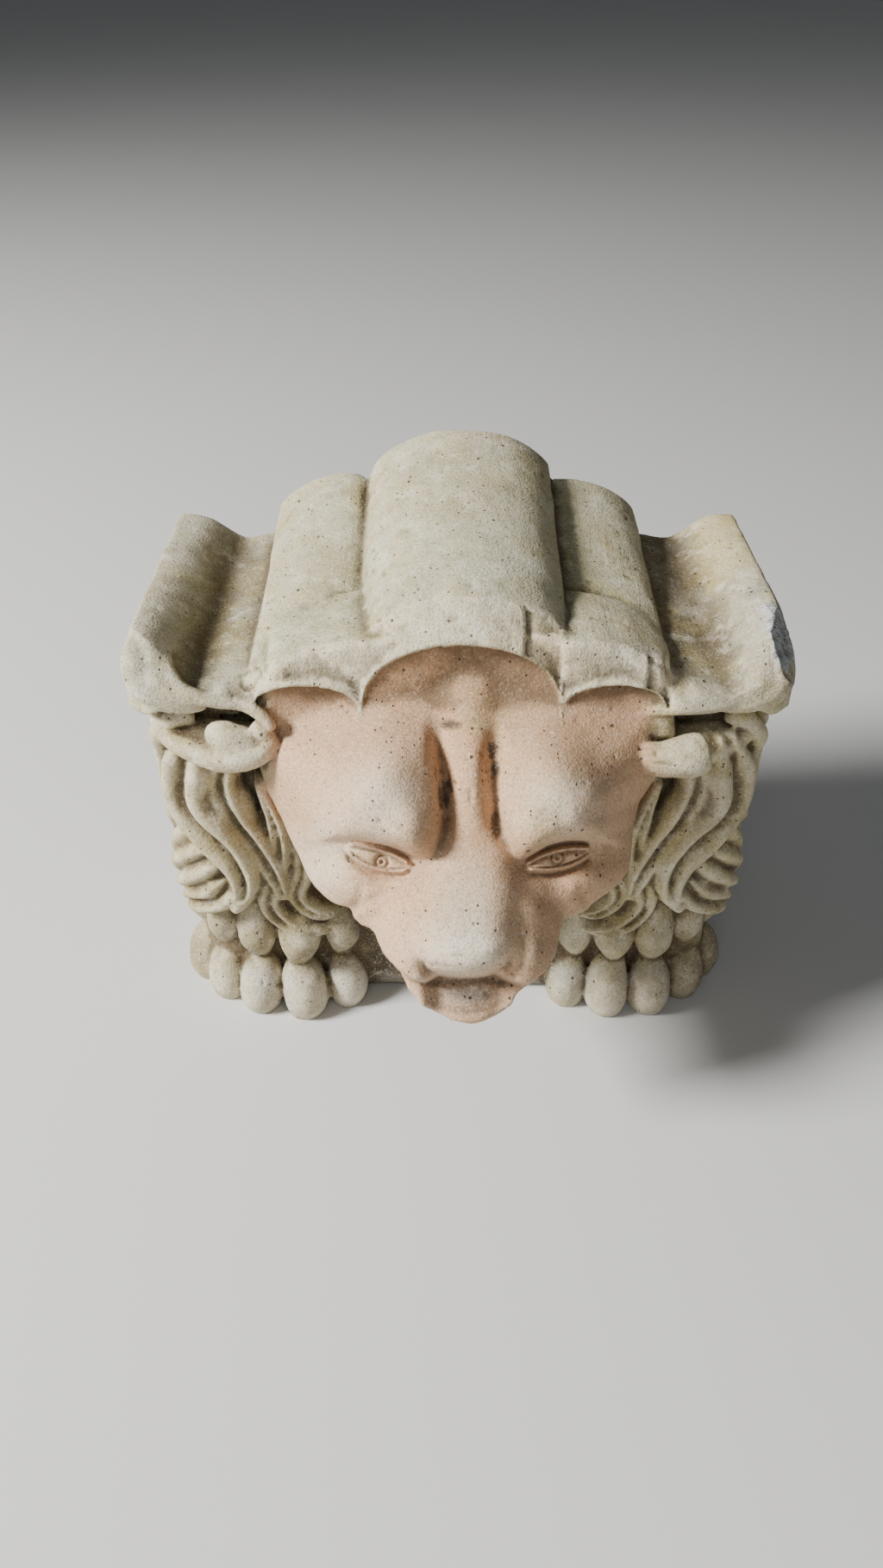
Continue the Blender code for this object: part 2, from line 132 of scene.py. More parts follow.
def stroke(u: Array, v: Array, path: Sequence[Pair], width: float) -> Array:
    """A chisel stroke along a path on a plane, fading at both ends.

    Args:
        u: Across the plane.
        v: Up the plane.
        path: The corners of the stroke.
        width: How wide it is, at about a third of its depth.

    Returns:
        1 on the path, falling to 0 beside it and at its ends.
    """
    corners = np.array(path, dtype=float)
    lengths = np.hypot(*(corners[1:] - corners[:-1]).T)
    total, walked = lengths.sum(), 0.0
    best, place = np.full(u.shape, 1e9), np.zeros(u.shape)
    for start, end, length in zip(corners[:-1], corners[1:], lengths):
        run = (end - start) / length
        t = np.clip((u - start[0]) * run[0] + (v - start[1]) * run[1], 0.0, length)
        away = np.hypot(u - start[0] - t * run[0], v - start[1] - t * run[1])
        nearer = away < best
        best, place = np.where(nearer, away, best), np.where(nearer, (walked + t) / total, place)
        walked += length
    return np.exp(-((best / width) ** 2)) * np.sqrt(np.clip(np.sin(np.pi * (0.04 + 0.92 * place)), 0.0, 1.0))


def smooth_path(points: Sequence[Sequence[float]], count: int) -> Array:
    """Points spread along a smooth curve through the given ones.

    Args:
        points: The points that the curve passes through.
        count: How many points to return.

    Returns:
        An array of count points.
    """
    knots = np.array(points, dtype=float)
    ends = np.concatenate([[2 * knots[0] - knots[1]], knots, [2 * knots[-1] - knots[-2]]])
    place = np.linspace(0.0, len(knots) - 1.0, count)
    first = np.minimum(place.astype(int), len(knots) - 2)
    t = (place - first)[:, None]
    a, b, c, d = (ends[first + i] for i in range(4))
    return b + 0.5 * t * (c - a + t * (2 * a - 5 * b + 4 * c - d + t * (3 * (b - c) + d - a)))


def grit(points: Array, size: float, seed: int) -> Array:
    """Smooth noise from -1 to 1, the same on every run.

    Args:
        points: Where to read it.
        size: The size of its lumps.
        seed: Which noise.

    Returns:
        One value for each point.
    """
    spot = points / size + 31.7 * seed
    cell = np.floor(spot).astype(np.int64)
    t = spot - cell
    t = t * t * (3.0 - 2.0 * t)
    total = np.zeros(len(points))
    for i in (0, 1):
        for j in (0, 1):
            for k in (0, 1):
                key = (cell[:, 0] + i) * 73856093 ^ (cell[:, 1] + j) * 19349663 ^ (cell[:, 2] + k) * 83492791
                key = (key ^ (seed * 2654435761)) & 0xFFFFFFFF
                key = (key ^ (key >> 15)) * 2246822519 & 0xFFFFFFFF
                key = (key ^ (key >> 13)) * 3266489917 & 0xFFFFFFFF
                value = ((key ^ (key >> 16)) & 0xFFFFFFFF) / 2147483647.5 - 1.0
                weight = np.abs((1 - i) - t[:, 0]) * np.abs((1 - j) - t[:, 1]) * np.abs((1 - k) - t[:, 2])
                total += value * weight
    return total


# Handling meshes.


def choose(piece: Piece) -> None:
    """Selects one piece alone and makes it active.

    Args:
        piece: The piece.
    """
    bpy.ops.object.select_all(action="DESELECT")
    piece.select_set(True)
    bpy.context.view_layer.objects.active = piece


def read_points(piece: Piece) -> Array:
    """The points of a piece's mesh.

    Args:
        piece: The piece.

    Returns:
        One row for each point.
    """
    flat = np.empty(len(piece.data.vertices) * 3)
    piece.data.vertices.foreach_get("co", flat)
    return flat.reshape(-1, 3)


def write_points(piece: Piece, points: Array) -> None:
    """Moves the points of a piece's mesh."""
    piece.data.vertices.foreach_set("co", np.ascontiguousarray(points).ravel())
    piece.data.update()


def read_normals(piece: Piece) -> Array:
    """The normals at the points of a piece's mesh.

    Args:
        piece: The piece.

    Returns:
        One row for each point.
    """
    flat = np.empty(len(piece.data.vertices) * 3)
    piece.data.vertices.foreach_get("normal", flat)
    return flat.reshape(-1, 3)


def finish_with(piece: Piece, kind: str, **settings: object) -> None:
    """Adds a modifier and applies it.

    Args:
        piece: The piece to work on.
        kind: The modifier's type.
        **settings: Its settings by name.
    """
    choose(piece)
    modifier = piece.modifiers.new(kind.lower(), kind)
    for name, value in settings.items():
        setattr(modifier, name, value)
    bpy.ops.object.modifier_apply(modifier=modifier.name)


def draw_out(name: str, around: int, along: int, shape: Shape) -> Piece:
    """Adds a ball of clay and draws it out into a closed lump.

    Args:
        name: The lump's name.
        around: How many points go round it.
        along: How many rings it has from one end to the other.
        shape: Gives the place for each share of the way along and each turn round.

    Returns:
        The lump.
    """
    finer = 2 if around > 200 else 1
    bpy.ops.object.select_all(action="DESELECT")
    bpy.ops.mesh.primitive_uv_sphere_add(segments=around >> finer, ring_count=along >> finer, radius=1.0,
                                         location=(0, 0, 0))
    lump = bpy.context.active_object
    lump.name = name
    finish_with(lump, "SUBSURF", subdivision_type="SIMPLE", levels=finer, render_levels=finer)
    ball = read_points(lump)
    ball /= np.linalg.norm(ball, axis=1)[:, None]
    share = np.arccos(np.clip(ball[:, 2], -1.0, 1.0)) / math.pi
    turn = np.arctan2(ball[:, 1], ball[:, 0])
    write_points(lump, shape(share, turn))
    return lump


def strand(name: str, points: Sequence[Sequence[float]], radii: Sequence[float]) -> Piece:
    """A rounded strand of clay along a smooth curve.

    Args:
        name: The strand's name.
        points: The points that it passes through.
        radii: Its radius at even steps along it.

    Returns:
        The strand.
    """
    path = smooth_path(points, 120)
    run = np.gradient(path, axis=0)
    run /= np.linalg.norm(run, axis=1)[:, None]
    side = np.cross(run, np.array([0.12, 1.0, 0.07]))
    side /= np.linalg.norm(side, axis=1)[:, None]
    rise = np.cross(side, run)
    steps = np.linspace(0.0, 1.0, 120)
    thick = np.interp(steps, np.linspace(0.0, 1.0, len(radii)), radii)
    thick *= np.sqrt(np.clip(1.0 - np.abs(2 * steps - 1) ** 14, 0.0, 1.0))

    def shape(share: Array, turn: Array) -> Array:
        """Places the ball's points round the curve.

        Args:
            share: The share of the way along.
            turn: The turn round it.

        Returns:
            The points.
        """
        centre = np.stack([np.interp(share, steps, path[:, i]) for i in range(3)], -1)
        across = np.stack([np.interp(share, steps, side[:, i]) for i in range(3)], -1)
        up = np.stack([np.interp(share, steps, rise[:, i]) for i in range(3)], -1)
        radius = np.interp(share, steps, thick)[:, None]
        return centre + radius * (np.cos(turn)[:, None] * across + np.sin(turn)[:, None] * up)

    return draw_out(name, 20, 60, shape)


# The parts of the carving.


@dataclass
class Crown:
    """The top: a wide middle roll, a narrower roll each side, and a hollow wing beyond each."""

    wing_end: float = 71.2
    roll_half: float = 22.5
    side_roll_middle: float = 33.0
    side_roll_half: float = 13.3
    wing_start: float = 44.5
    front: float = -2.5
    bevel_back: float = 3.0
    back: float = 67.0
    underside: float = 90.6

    def top(self, x: Array, back: Array) -> Array:
        """Height of the crown's top.

        Args:
            x: Across the stone.
            back: 0 at the front ledge and 1 at the back.

        Returns:
            The heights.
        """
        a = np.abs(x)
        roll = 97.5 + 12.5 * back + (16.2 - 1.0 * back) * arch(x - 1.2, self.roll_half + 0.7) ** 0.88
        side = 97.5 + 7.5 * back - (3.0 + 4.5 * back) * (a - 20.0) / 25.0
        high = np.where(x < 0, 9.0, 7.6)
        side = side + (3.8 + high * back) * arch(a - self.side_roll_middle, self.side_roll_half) ** 0.62
        dip = 55.5 - 2.5 * back
        rise = np.where(a > dip, 10.0 - 4.0 * back, 1.6)
        wing = 94.8 + 3.5 * back + rise * (1.0 - np.exp(-(((a - dip) / 6.5) ** 2)))
        top = np.where(a < self.roll_half, roll, side)
        top = top + (wing - top) * ease(a, self.wing_start - 0.5, self.wing_start + 0.7)
        return top - 5.0 * ease(a, self.wing_end - 3.0, self.wing_end + 0.5) ** 2

    def under(self, x: Array) -> Array:
        """Height of the crown's underside: one arch under each roll.

        Args:
            x: Across the stone.

        Returns:
            The heights.
        """
        a = np.abs(x)
        middle = 15.0 * arch(x - 0.3, 20.8) ** 0.85
        side = 5.8 * arch(a - 32.3, 10.8) ** 0.85
        return self.underside + middle + side + 1.2 * ease(a, 40.0, 46.0) - 4.0 * ease(a, 60.0, 68.0)

    def slab(self) -> Piece:
        """Rolls and wings, bent out of one thick sheet.

        Returns:
            The lump.
        """
        bpy.ops.object.select_all(action="DESELECT")
        bpy.ops.mesh.primitive_grid_add(x_subdivisions=300, y_subdivisions=70, size=2.0, location=(0, 0, 0))
        lump = bpy.context.active_object
        lump.name = "crown"
        bpy.ops.object.mode_set(mode="EDIT")
        bpy.ops.mesh.select_all(action="SELECT")
        bpy.ops.mesh.extrude_region_move(TRANSFORM_OT_translate={"value": (0, 0, -1)})
        bpy.ops.object.mode_set(mode="OBJECT")
        sheet = read_points(lump)
        x = sheet[:, 0] * self.wing_end
        t = (sheet[:, 1] + 1.0) / 2.0
        y = np.where(t < 0.1, self.front + t * 10 * (self.bevel_back - self.front),
                     self.bevel_back + (t - 0.1) / 0.9 * (self.back + 2.0 - self.bevel_back))
        back = np.clip((y - self.bevel_back) / (self.back - self.bevel_back), 0.0, 1.0)
        low = self.under(x)
        full = self.top(x, back)
        lip = low + 0.7 + (full - low) * 0.5 * ease(np.abs(x), 46.5, 50.0)
        bevel = np.clip((y - self.front) / (self.bevel_back - self.front), 0.0, 1.0)
        top = lip + (full - lip) * bevel ** 0.9
        top = top - 1.4 * ease(y, self.back - 1.6, self.back + 0.4) ** 2
        floor = np.where(y < 6.0, low, self.underside - 6.0)
        corner = 6.5 * ease(np.abs(x), 60.0, self.wing_end + 0.5) ** 2 * (1.0 - ease(y, 0.0, 20.0))
        write_points(lump, np.stack([x, y + corner, np.where(sheet[:, 2] > -0.5, top, floor)], -1))
        return lump

    def build(self) -> list[Piece]:
        """All the crown's lumps, with the wings' rolled rims and tufts.

        Returns:
            The lumps.
        """
        lumps = [self.slab()]
        for side in Side:
            drop = 0.0 if side is Side.LEFT else -2.5
            rim = [(60.8, 10, 99.2), (61.8, 4.5, 99.6 + drop * 0.5), (60.6, 1.2, 97.4 + drop * 0.8),
                   (57.5, -0.9, 94.6 + drop * 0.8), (52, -1.7, 93.0 + drop * 0.6),
                   (46, -1.8, 92.2 + drop * 0.4)]
            if side is Side.LEFT:
                rim += [(41.6, -3.2, 90.4), (38.6, -4.6, 87.6)]
            else:
                rim += [(42.0, -1.0, 90.4), (39.0, 0.5, 89.5)]
            tuft = [(65.8, 16, 102.6), (67.4, 8, 101.2), (67.6, 2.8, 97.8), (65.2, 1.2, 94.0), (60.0, 0.4, 92),
                    (53, 1.0, 91)]
            curl = [(68.2, 22, 99), (69.1, 12, 97), (68.8, 6.4, 92.8), (65.6, 4.6, 90.2), (61, 6.0, 89.4)]
            for name, path, radii in (("wing_rim", rim, (1.1, 1.5, 1.8, 1.7, 1.5, 1.5, 1.5, 1.4)),
                                      ("outer_tuft", tuft, (2.0, 3.0, 3.6, 3.7, 3.1, 2.2)),
                                      ("corner_curl", curl, (2.4, 3.0, 3.2, 3.0, 2.4))):
                lumps.append(strand(name, [(side.value * x, y, z) for x, y, z in path], radii))
        return lumps


@dataclass
class Wall:
    """The wall that the mane lies on, with a rounded front corner."""

    front: float = 6.0
    side: float = 64.4
    corner: float = 11.0
    start: float = 28.0

    def place(self, s: Array, z: Array, height: Array, flip: int) -> Array:
        """Points on or off the wall.

        Args:
            s: How far round the wall, from beside the face towards the back.
            z: How high.
            height: How far off the wall.
            flip: -1 for the viewer's left, 1 for the right.

        Returns:
            The points.
        """
        front_run = self.side - self.corner - self.start
        turn = np.clip((s - front_run) / self.corner, 0.0, math.pi / 2)
        past = np.clip(s - front_run - self.corner * math.pi / 2, 0.0, None)
        x = np.where(s < front_run, self.start + s, self.side - self.corner + self.corner * np.sin(turn))
        y = self.front + self.corner * (1.0 - np.cos(turn)) + past
        return np.stack([flip * (x + height * np.sin(turn)), y - height * np.cos(turn), z], -1)


@dataclass
class Lock:
    """One ribbed lock of hair lying on the wall."""

    path: Sequence[Pair]
    width: Sequence[float]
    thick: float
    ribs: int = 3
    lift: float = 0.5

    def build(self, wall: Wall, flip: int) -> Piece:
        """Draws the lock out along its path.

        Args:
            wall: The wall it lies on.
            flip: -1 for the viewer's left, 1 for the right.

        Returns:
            The lump.
        """
        steps = np.linspace(0.0, 1.0, 160)
        path = smooth_path(self.path, 160)
        run = np.gradient(path, axis=0)
        run /= np.hypot(run[:, 0], run[:, 1])[:, None]
        wide = np.interp(steps, np.linspace(0.0, 1.0, len(self.width)), self.width)
        taper = np.sqrt(np.clip(1.0 - np.clip((steps - 0.72) / 0.28, 0.0, 1.0) ** 2.2, 0.0, 1.0))
        taper *= np.minimum(1.0, 0.5 + 4.0 * steps)

        def shape(share: Array, turn: Array) -> Array:
            """Places the ball's points on the lock.

            Args:
                share: The share of the way along.
                turn: The turn round it.

            Returns:
                The points.
            """
            at_s, at_z = (np.interp(share, steps, path[:, i]) for i in (0, 1))
            run_s, run_z = (np.interp(share, steps, run[:, i]) for i in (0, 1))
            full = np.interp(share, steps, taper)
            half = np.interp(share, steps, wide) * 0.5 * full
            spread = np.cos(turn)
            ridge = np.abs(np.cos(math.pi * (self.ribs * spread + self.ribs - 1) / 2)) ** 0.75
            out = self.thick * (0.3 + 0.7 * full) * np.abs(np.sin(turn)) ** 0.8 * (1.0 - 0.62 * (1.0 - ridge))
            height = np.where(np.sin(turn) > 0, out + self.lift, -2.0)
            return wall.place(at_s - run_z * half * spread, at_z + run_s * half * spread, height, flip)

        return draw_out("lock", 72, 90, shape)


@dataclass
class Mane:
    """The mane: swaying locks beside the face, leafy ones at the corner, and plainer rows along each side."""

    wall: Wall = field(default_factory=Wall)
    rows: Sequence[Pair] = ((88.0, 56.0), (64.0, 33.0), (42.0, 12.0))
    in_a_row: int = 5

    def front_locks(self) -> list[Lock]:
        """The locks that face the viewer.

        Returns:
            The locks of one side.
        """
        return [
            Lock([(31, 86), (37.5, 79), (41.8, 71), (40.5, 62.5), (35, 57.5)],
                 (8, 10.5, 11, 9, 5), 5.6, 2, 1.2),
            Lock([(28, 84), (30.5, 73), (31, 64), (27, 56), (23.6, 49.5), (22.4, 44), (23.2, 39.5),
                  (26, 36.4)], (8, 10.5, 11, 11, 10, 9, 7.5, 5), 6.6, 2, 2.4),
            Lock([(22, 80), (25, 70), (23, 61), (18.6, 52.5), (15.2, 44), (13.4, 35)],
                 (7, 8, 8.5, 8, 7, 5), 5.6, 2, 1.2),
            Lock([(17.5, 70), (14, 57), (14, 48), (16.6, 39.5), (17.4, 34), (14.6, 29), (9, 26), (3, 25)],
                 (4, 5.5, 6, 6.5, 7, 6.5, 5, 3.5), 4.6, 2, 0.8),
            Lock([(9, 54), (9, 44), (11, 36), (7, 31), (1, 29.5)], (4, 6, 6, 5, 3), 3.8, 2, 0.2),
            Lock([(31, 61), (36.5, 54), (41.5, 46), (43.4, 37.5)], (9, 12, 11, 5), 5.6, 2, 0.8),
            Lock([(27, 52), (32.5, 45), (38, 38.5), (42, 32)], (8, 11, 10, 5), 5.8, 2, 1.4),
            Lock([(25.5, 43), (29, 36.5), (33.5, 33), (38, 29.5)], (7, 9, 9, 5), 5.4, 2, 1.4),
            Lock([(38, 68), (44.5, 59), (48, 50), (46.5, 42)], (7, 11, 10, 5), 5.0, 2, 0.4),
            Lock([(43, 51), (48.5, 43), (49, 36), (46, 30)], (7, 10, 10, 5), 5.0, 2, 0.4),
            Lock([(21, 44), (23.4, 38.0), (26, 33)], (6, 7.5, 4), 5.2, 1, 1.8),
        ]

    def build(self) -> list[Piece]:
        """All the locks, on both sides.

        Returns:
            The lumps.
        """
        lumps = []
        for side in Side:
            for lock in self.front_locks():
                lumps.append(lock.build(self.wall, side.value))
            for row, (high, low) in enumerate(self.rows):
                for i in range(self.in_a_row):
                    s = 50.0 + 10.5 * i + 5.0 * (row % 2)
                    mid = (high + low) / 2
                    path = [(s - 2.5, high), (s + 2.5, mid + 7), (s - 2.0, mid - 6), (s + 4.0, low)]
                    lumps.append(Lock(path, (8, 12, 12, 5), 4.0, 2, 0.0).build(self.wall, side.value))
        return lumps


@dataclass
class Ears:
    """The ears, laid out sideways under the wings: the left one a worn cup, the right one a thick tongue."""

    def build(self) -> list[Piece]:
        """All the ears' lumps.

        Returns:
            The lumps.
        """
        rows = [
            ("ear_rim", [(-39.2, -3.0, 85.6), (-41.4, -4.2, 82.6), (-45.4, -4.8, 80.8), (-51, -3.6, 79.9),
                         (-58, -0.6, 80.4), (-63.5, 2.6, 82.2), (-66.0, 6, 86)],
             (1.8, 2.2, 2.6, 2.9, 2.7, 2.4, 2.2)),
            ("ear_rim", [(46, 0.5, 78.6), (52, 0.6, 77.8), (58, 2.6, 78.8), (63.0, 5, 81.5), (65.6, 9, 86)],
             (2.2, 2.4, 2.6, 2.6, 2.2)),
            ("ear_bowl", [(-38, 1, 81), (-50, 2.5, 80.0), (-60, 5, 81)], (4.6, 4.6, 4.2)),
            ("ear_tuft", [(-42.5, -1.6, 82.6), (-46.0, -2.6, 84.0), (-50.0, -2.2, 84.6), (-53.5, 0.4, 84.0)],
             (1.8, 2.8, 3.2, 2.2)),
            ("ear_tuft", [(-39.6, -3.0, 84.6), (-41.6, -3.2, 86.2), (-44.0, -2.0, 87.4)], (1.5, 1.9, 1.6)),
            ("ear_tongue", [(37.0, -6.0, 82.6), (42.5, -6.2, 81.6), (48.5, -5.8, 82.0), (52.6, -5.0, 82.8)],
             (3.0, 3.7, 4.6, 4.2)),
            ("ear_bowl", [(36, 2.5, 80.5), (50, 4.0, 79.5), (60, 6, 80)], (4.4, 4.4, 4.0)),
        ]
        hair = [(46, 13, 87), (55, 11.5, 86.5), (61, 9.0, 84.5), (64.6, 9.5, 79), (65.2, 13, 73)]
        wisp = [(57, 2.5, 87), (62.5, 3.2, 85), (66.0, 5.5, 80), (66.5, 9, 74)]
        for side in Side:
            for path, radii in ((hair, (3.5, 4.6, 4.4, 4.2, 3.0)), (wisp, (1.8, 2.2, 2.4, 1.8))):
                rows.append(("ear_hair", [(side.value * x, y, z) for x, y, z in path], radii))
        return [strand(name, path, radii) for name, path, radii in rows]


@dataclass
class Paws:
    """Two paws of five toes each, with the pad behind them that carries the stone."""

    middle: float = 45.7
    half: float = 17.8
    front: float = 2.0
    toes: Sequence[Triple] = (
        (29.0, 8.6, 0.98), (39.0, 5.0, 1.04), (49.9, 6.2, 1.04), (58.8, 11.8, 0.98), (64.6, 18.4, 0.9),
    )

    def toe(self, place: Triple, flip: int, seed: int) -> Piece:
        """One toe: a rounded tip, a pinch, then the knuckle.

        Args:
            place: How far out and back it stands, and how full it is.
            flip: -1 for the viewer's left, 1 for the right.
            seed: Which of the toes, for its own slight size.

        Returns:
            The lump.
        """
        wobble = np.random.default_rng(seed).uniform(-1.0, 1.0, 5)
        rows = [(-3.0, 0.0, 4.8), (0.6, 0.9, 5.4), (3.6, 1.4, 5.9), (7.0, 1.2, 5.8), (10.4, 0.4, 5.2),
                (13.0, -1.0, 3.8), (14.6, -1.8, 3.3), (17.0, -1.2, 4.2), (20.4, -0.5, 5.2), (24.0, -1.0, 5.4),
                (28.5, -2.8, 4.9), (33.0, -5.4, 4.2), (42.0, -10.0, 3.2)]
        profile = smooth_path(rows, 160)
        profile[:, 0] += 1.1 * wobble[0] * ease(profile[:, 0], 4.0, 14.0)
        profile[:, 2] = profile[:, 2] * place[2] + 0.3 * wobble[1]
        steps = np.linspace(0.0, 1.0, 160)
        x, y = place[0] + 0.4 * wobble[2], place[1] + 0.5 * wobble[3]
        share = (place[0] - self.middle) / self.half
        lean_x, lean_y = np.array([0.8 * share, -1.0]) / math.hypot(0.8 * share, 1.0)

        def shape(along: Array, turn: Array) -> Array:
            """Places the ball's points on the toe.

            Args:
                along: The share of the way up.
                turn: The turn round it.

            Returns:
                The points.
            """
            z, lean, half = (np.interp(along, steps, profile[:, i]) for i in range(3))
            half = half * np.sqrt(np.clip(1.0 - np.abs(2 * along - 1) ** 30, 0.0, 1.0))
            sway = 0.5 * wobble[4] * np.sin(along * 9.0 + seed)
            return np.stack([flip * (x + sway + lean_x * lean + 0.9 * half * np.cos(turn)),
                             y + lean_y * lean + 1.05 * half * np.sin(turn), z], -1)

        return draw_out("toe", 40, 90, shape)

    def pad(self, flip: int) -> Piece:
        """The mass behind the toes: a drum, narrowed at the pinch.

        Args:
            flip: -1 for the viewer's left, 1 for the right.

        Returns:
            The lump.
        """
        bpy.ops.object.select_all(action="DESELECT")
        bpy.ops.mesh.primitive_cylinder_add(vertices=64, radius=1.0, depth=1.0, location=(0, 0, 0))
        lump = bpy.context.active_object
        lump.name = "paw_pad"
        bpy.ops.object.mode_set(mode="EDIT")
        bpy.ops.mesh.select_all(action="SELECT")
        for level in np.linspace(-0.42, 0.42, 13):
            bpy.ops.mesh.select_all(action="SELECT")
            bpy.ops.mesh.bisect(plane_co=(0, 0, float(level)), plane_no=(0, 0, 1))
        bpy.ops.object.mode_set(mode="OBJECT")
        drum = read_points(lump)
        z = -3.0 + 45.0 * (drum[:, 2] + 0.5)
        swell = np.interp(z, [-3, 7, 14.5, 23, 42], [1.0, 1.02, 0.88, 0.96, 0.8])
        out = swell * (self.half + 1.0) * drum[:, 0]
        x = flip * (self.middle + 1.0 + out)
        write_points(lump, np.stack([x, self.front + 18.5 + 0.28 * out + 12.4 * swell * drum[:, 1], z], -1))
        return lump

    def build(self) -> list[Piece]:
        """Both paws.

        Returns:
            The lumps.
        """
        lumps = []
        for side in Side:
            lumps.append(self.pad(side.value))
            for i, place in enumerate(self.toes):
                lumps.append(self.toe(place, side.value, 7 * i + side.value + 1))
        return lumps


@dataclass
class Block:
    """The plain block behind the head."""

    half: float = 64.8
    front: float = 8.0
    back: float = 69.0
    top: float = 95.0
    corner: float = 10.0

    def build(self) -> list[Piece]:
        """A cube, stretched to size, with its two upright front edges rounded.

        Returns:
            The lump, in a list.
        """
        bpy.ops.object.select_all(action="DESELECT")
        bpy.ops.mesh.primitive_cube_add(size=1.0, location=(0, 0, 0))
        lump = bpy.context.active_object
        lump.name = "block"
        cube = read_points(lump)
        low, high = np.array([-self.half, self.front, -3.0]), np.array([self.half, self.back, self.top])
        write_points(lump, low + (cube + 0.5) * (high - low))
        bpy.ops.object.mode_set(mode="EDIT")
        bpy.ops.mesh.select_all(action="DESELECT")
        bpy.ops.object.mode_set(mode="OBJECT")
        for edge in lump.data.edges:
            ends = [lump.data.vertices[i].co for i in edge.vertices]
            edge.select = all(abs(p.y - self.front) < 0.1 for p in ends) and abs(ends[0].z - ends[1].z) > 1.0
        bpy.ops.object.mode_set(mode="EDIT")
        bpy.ops.mesh.select_mode(type="EDGE")
        bpy.ops.mesh.bevel(offset=self.corner, segments=10)
        bpy.ops.object.mode_set(mode="OBJECT")
        return [lump]


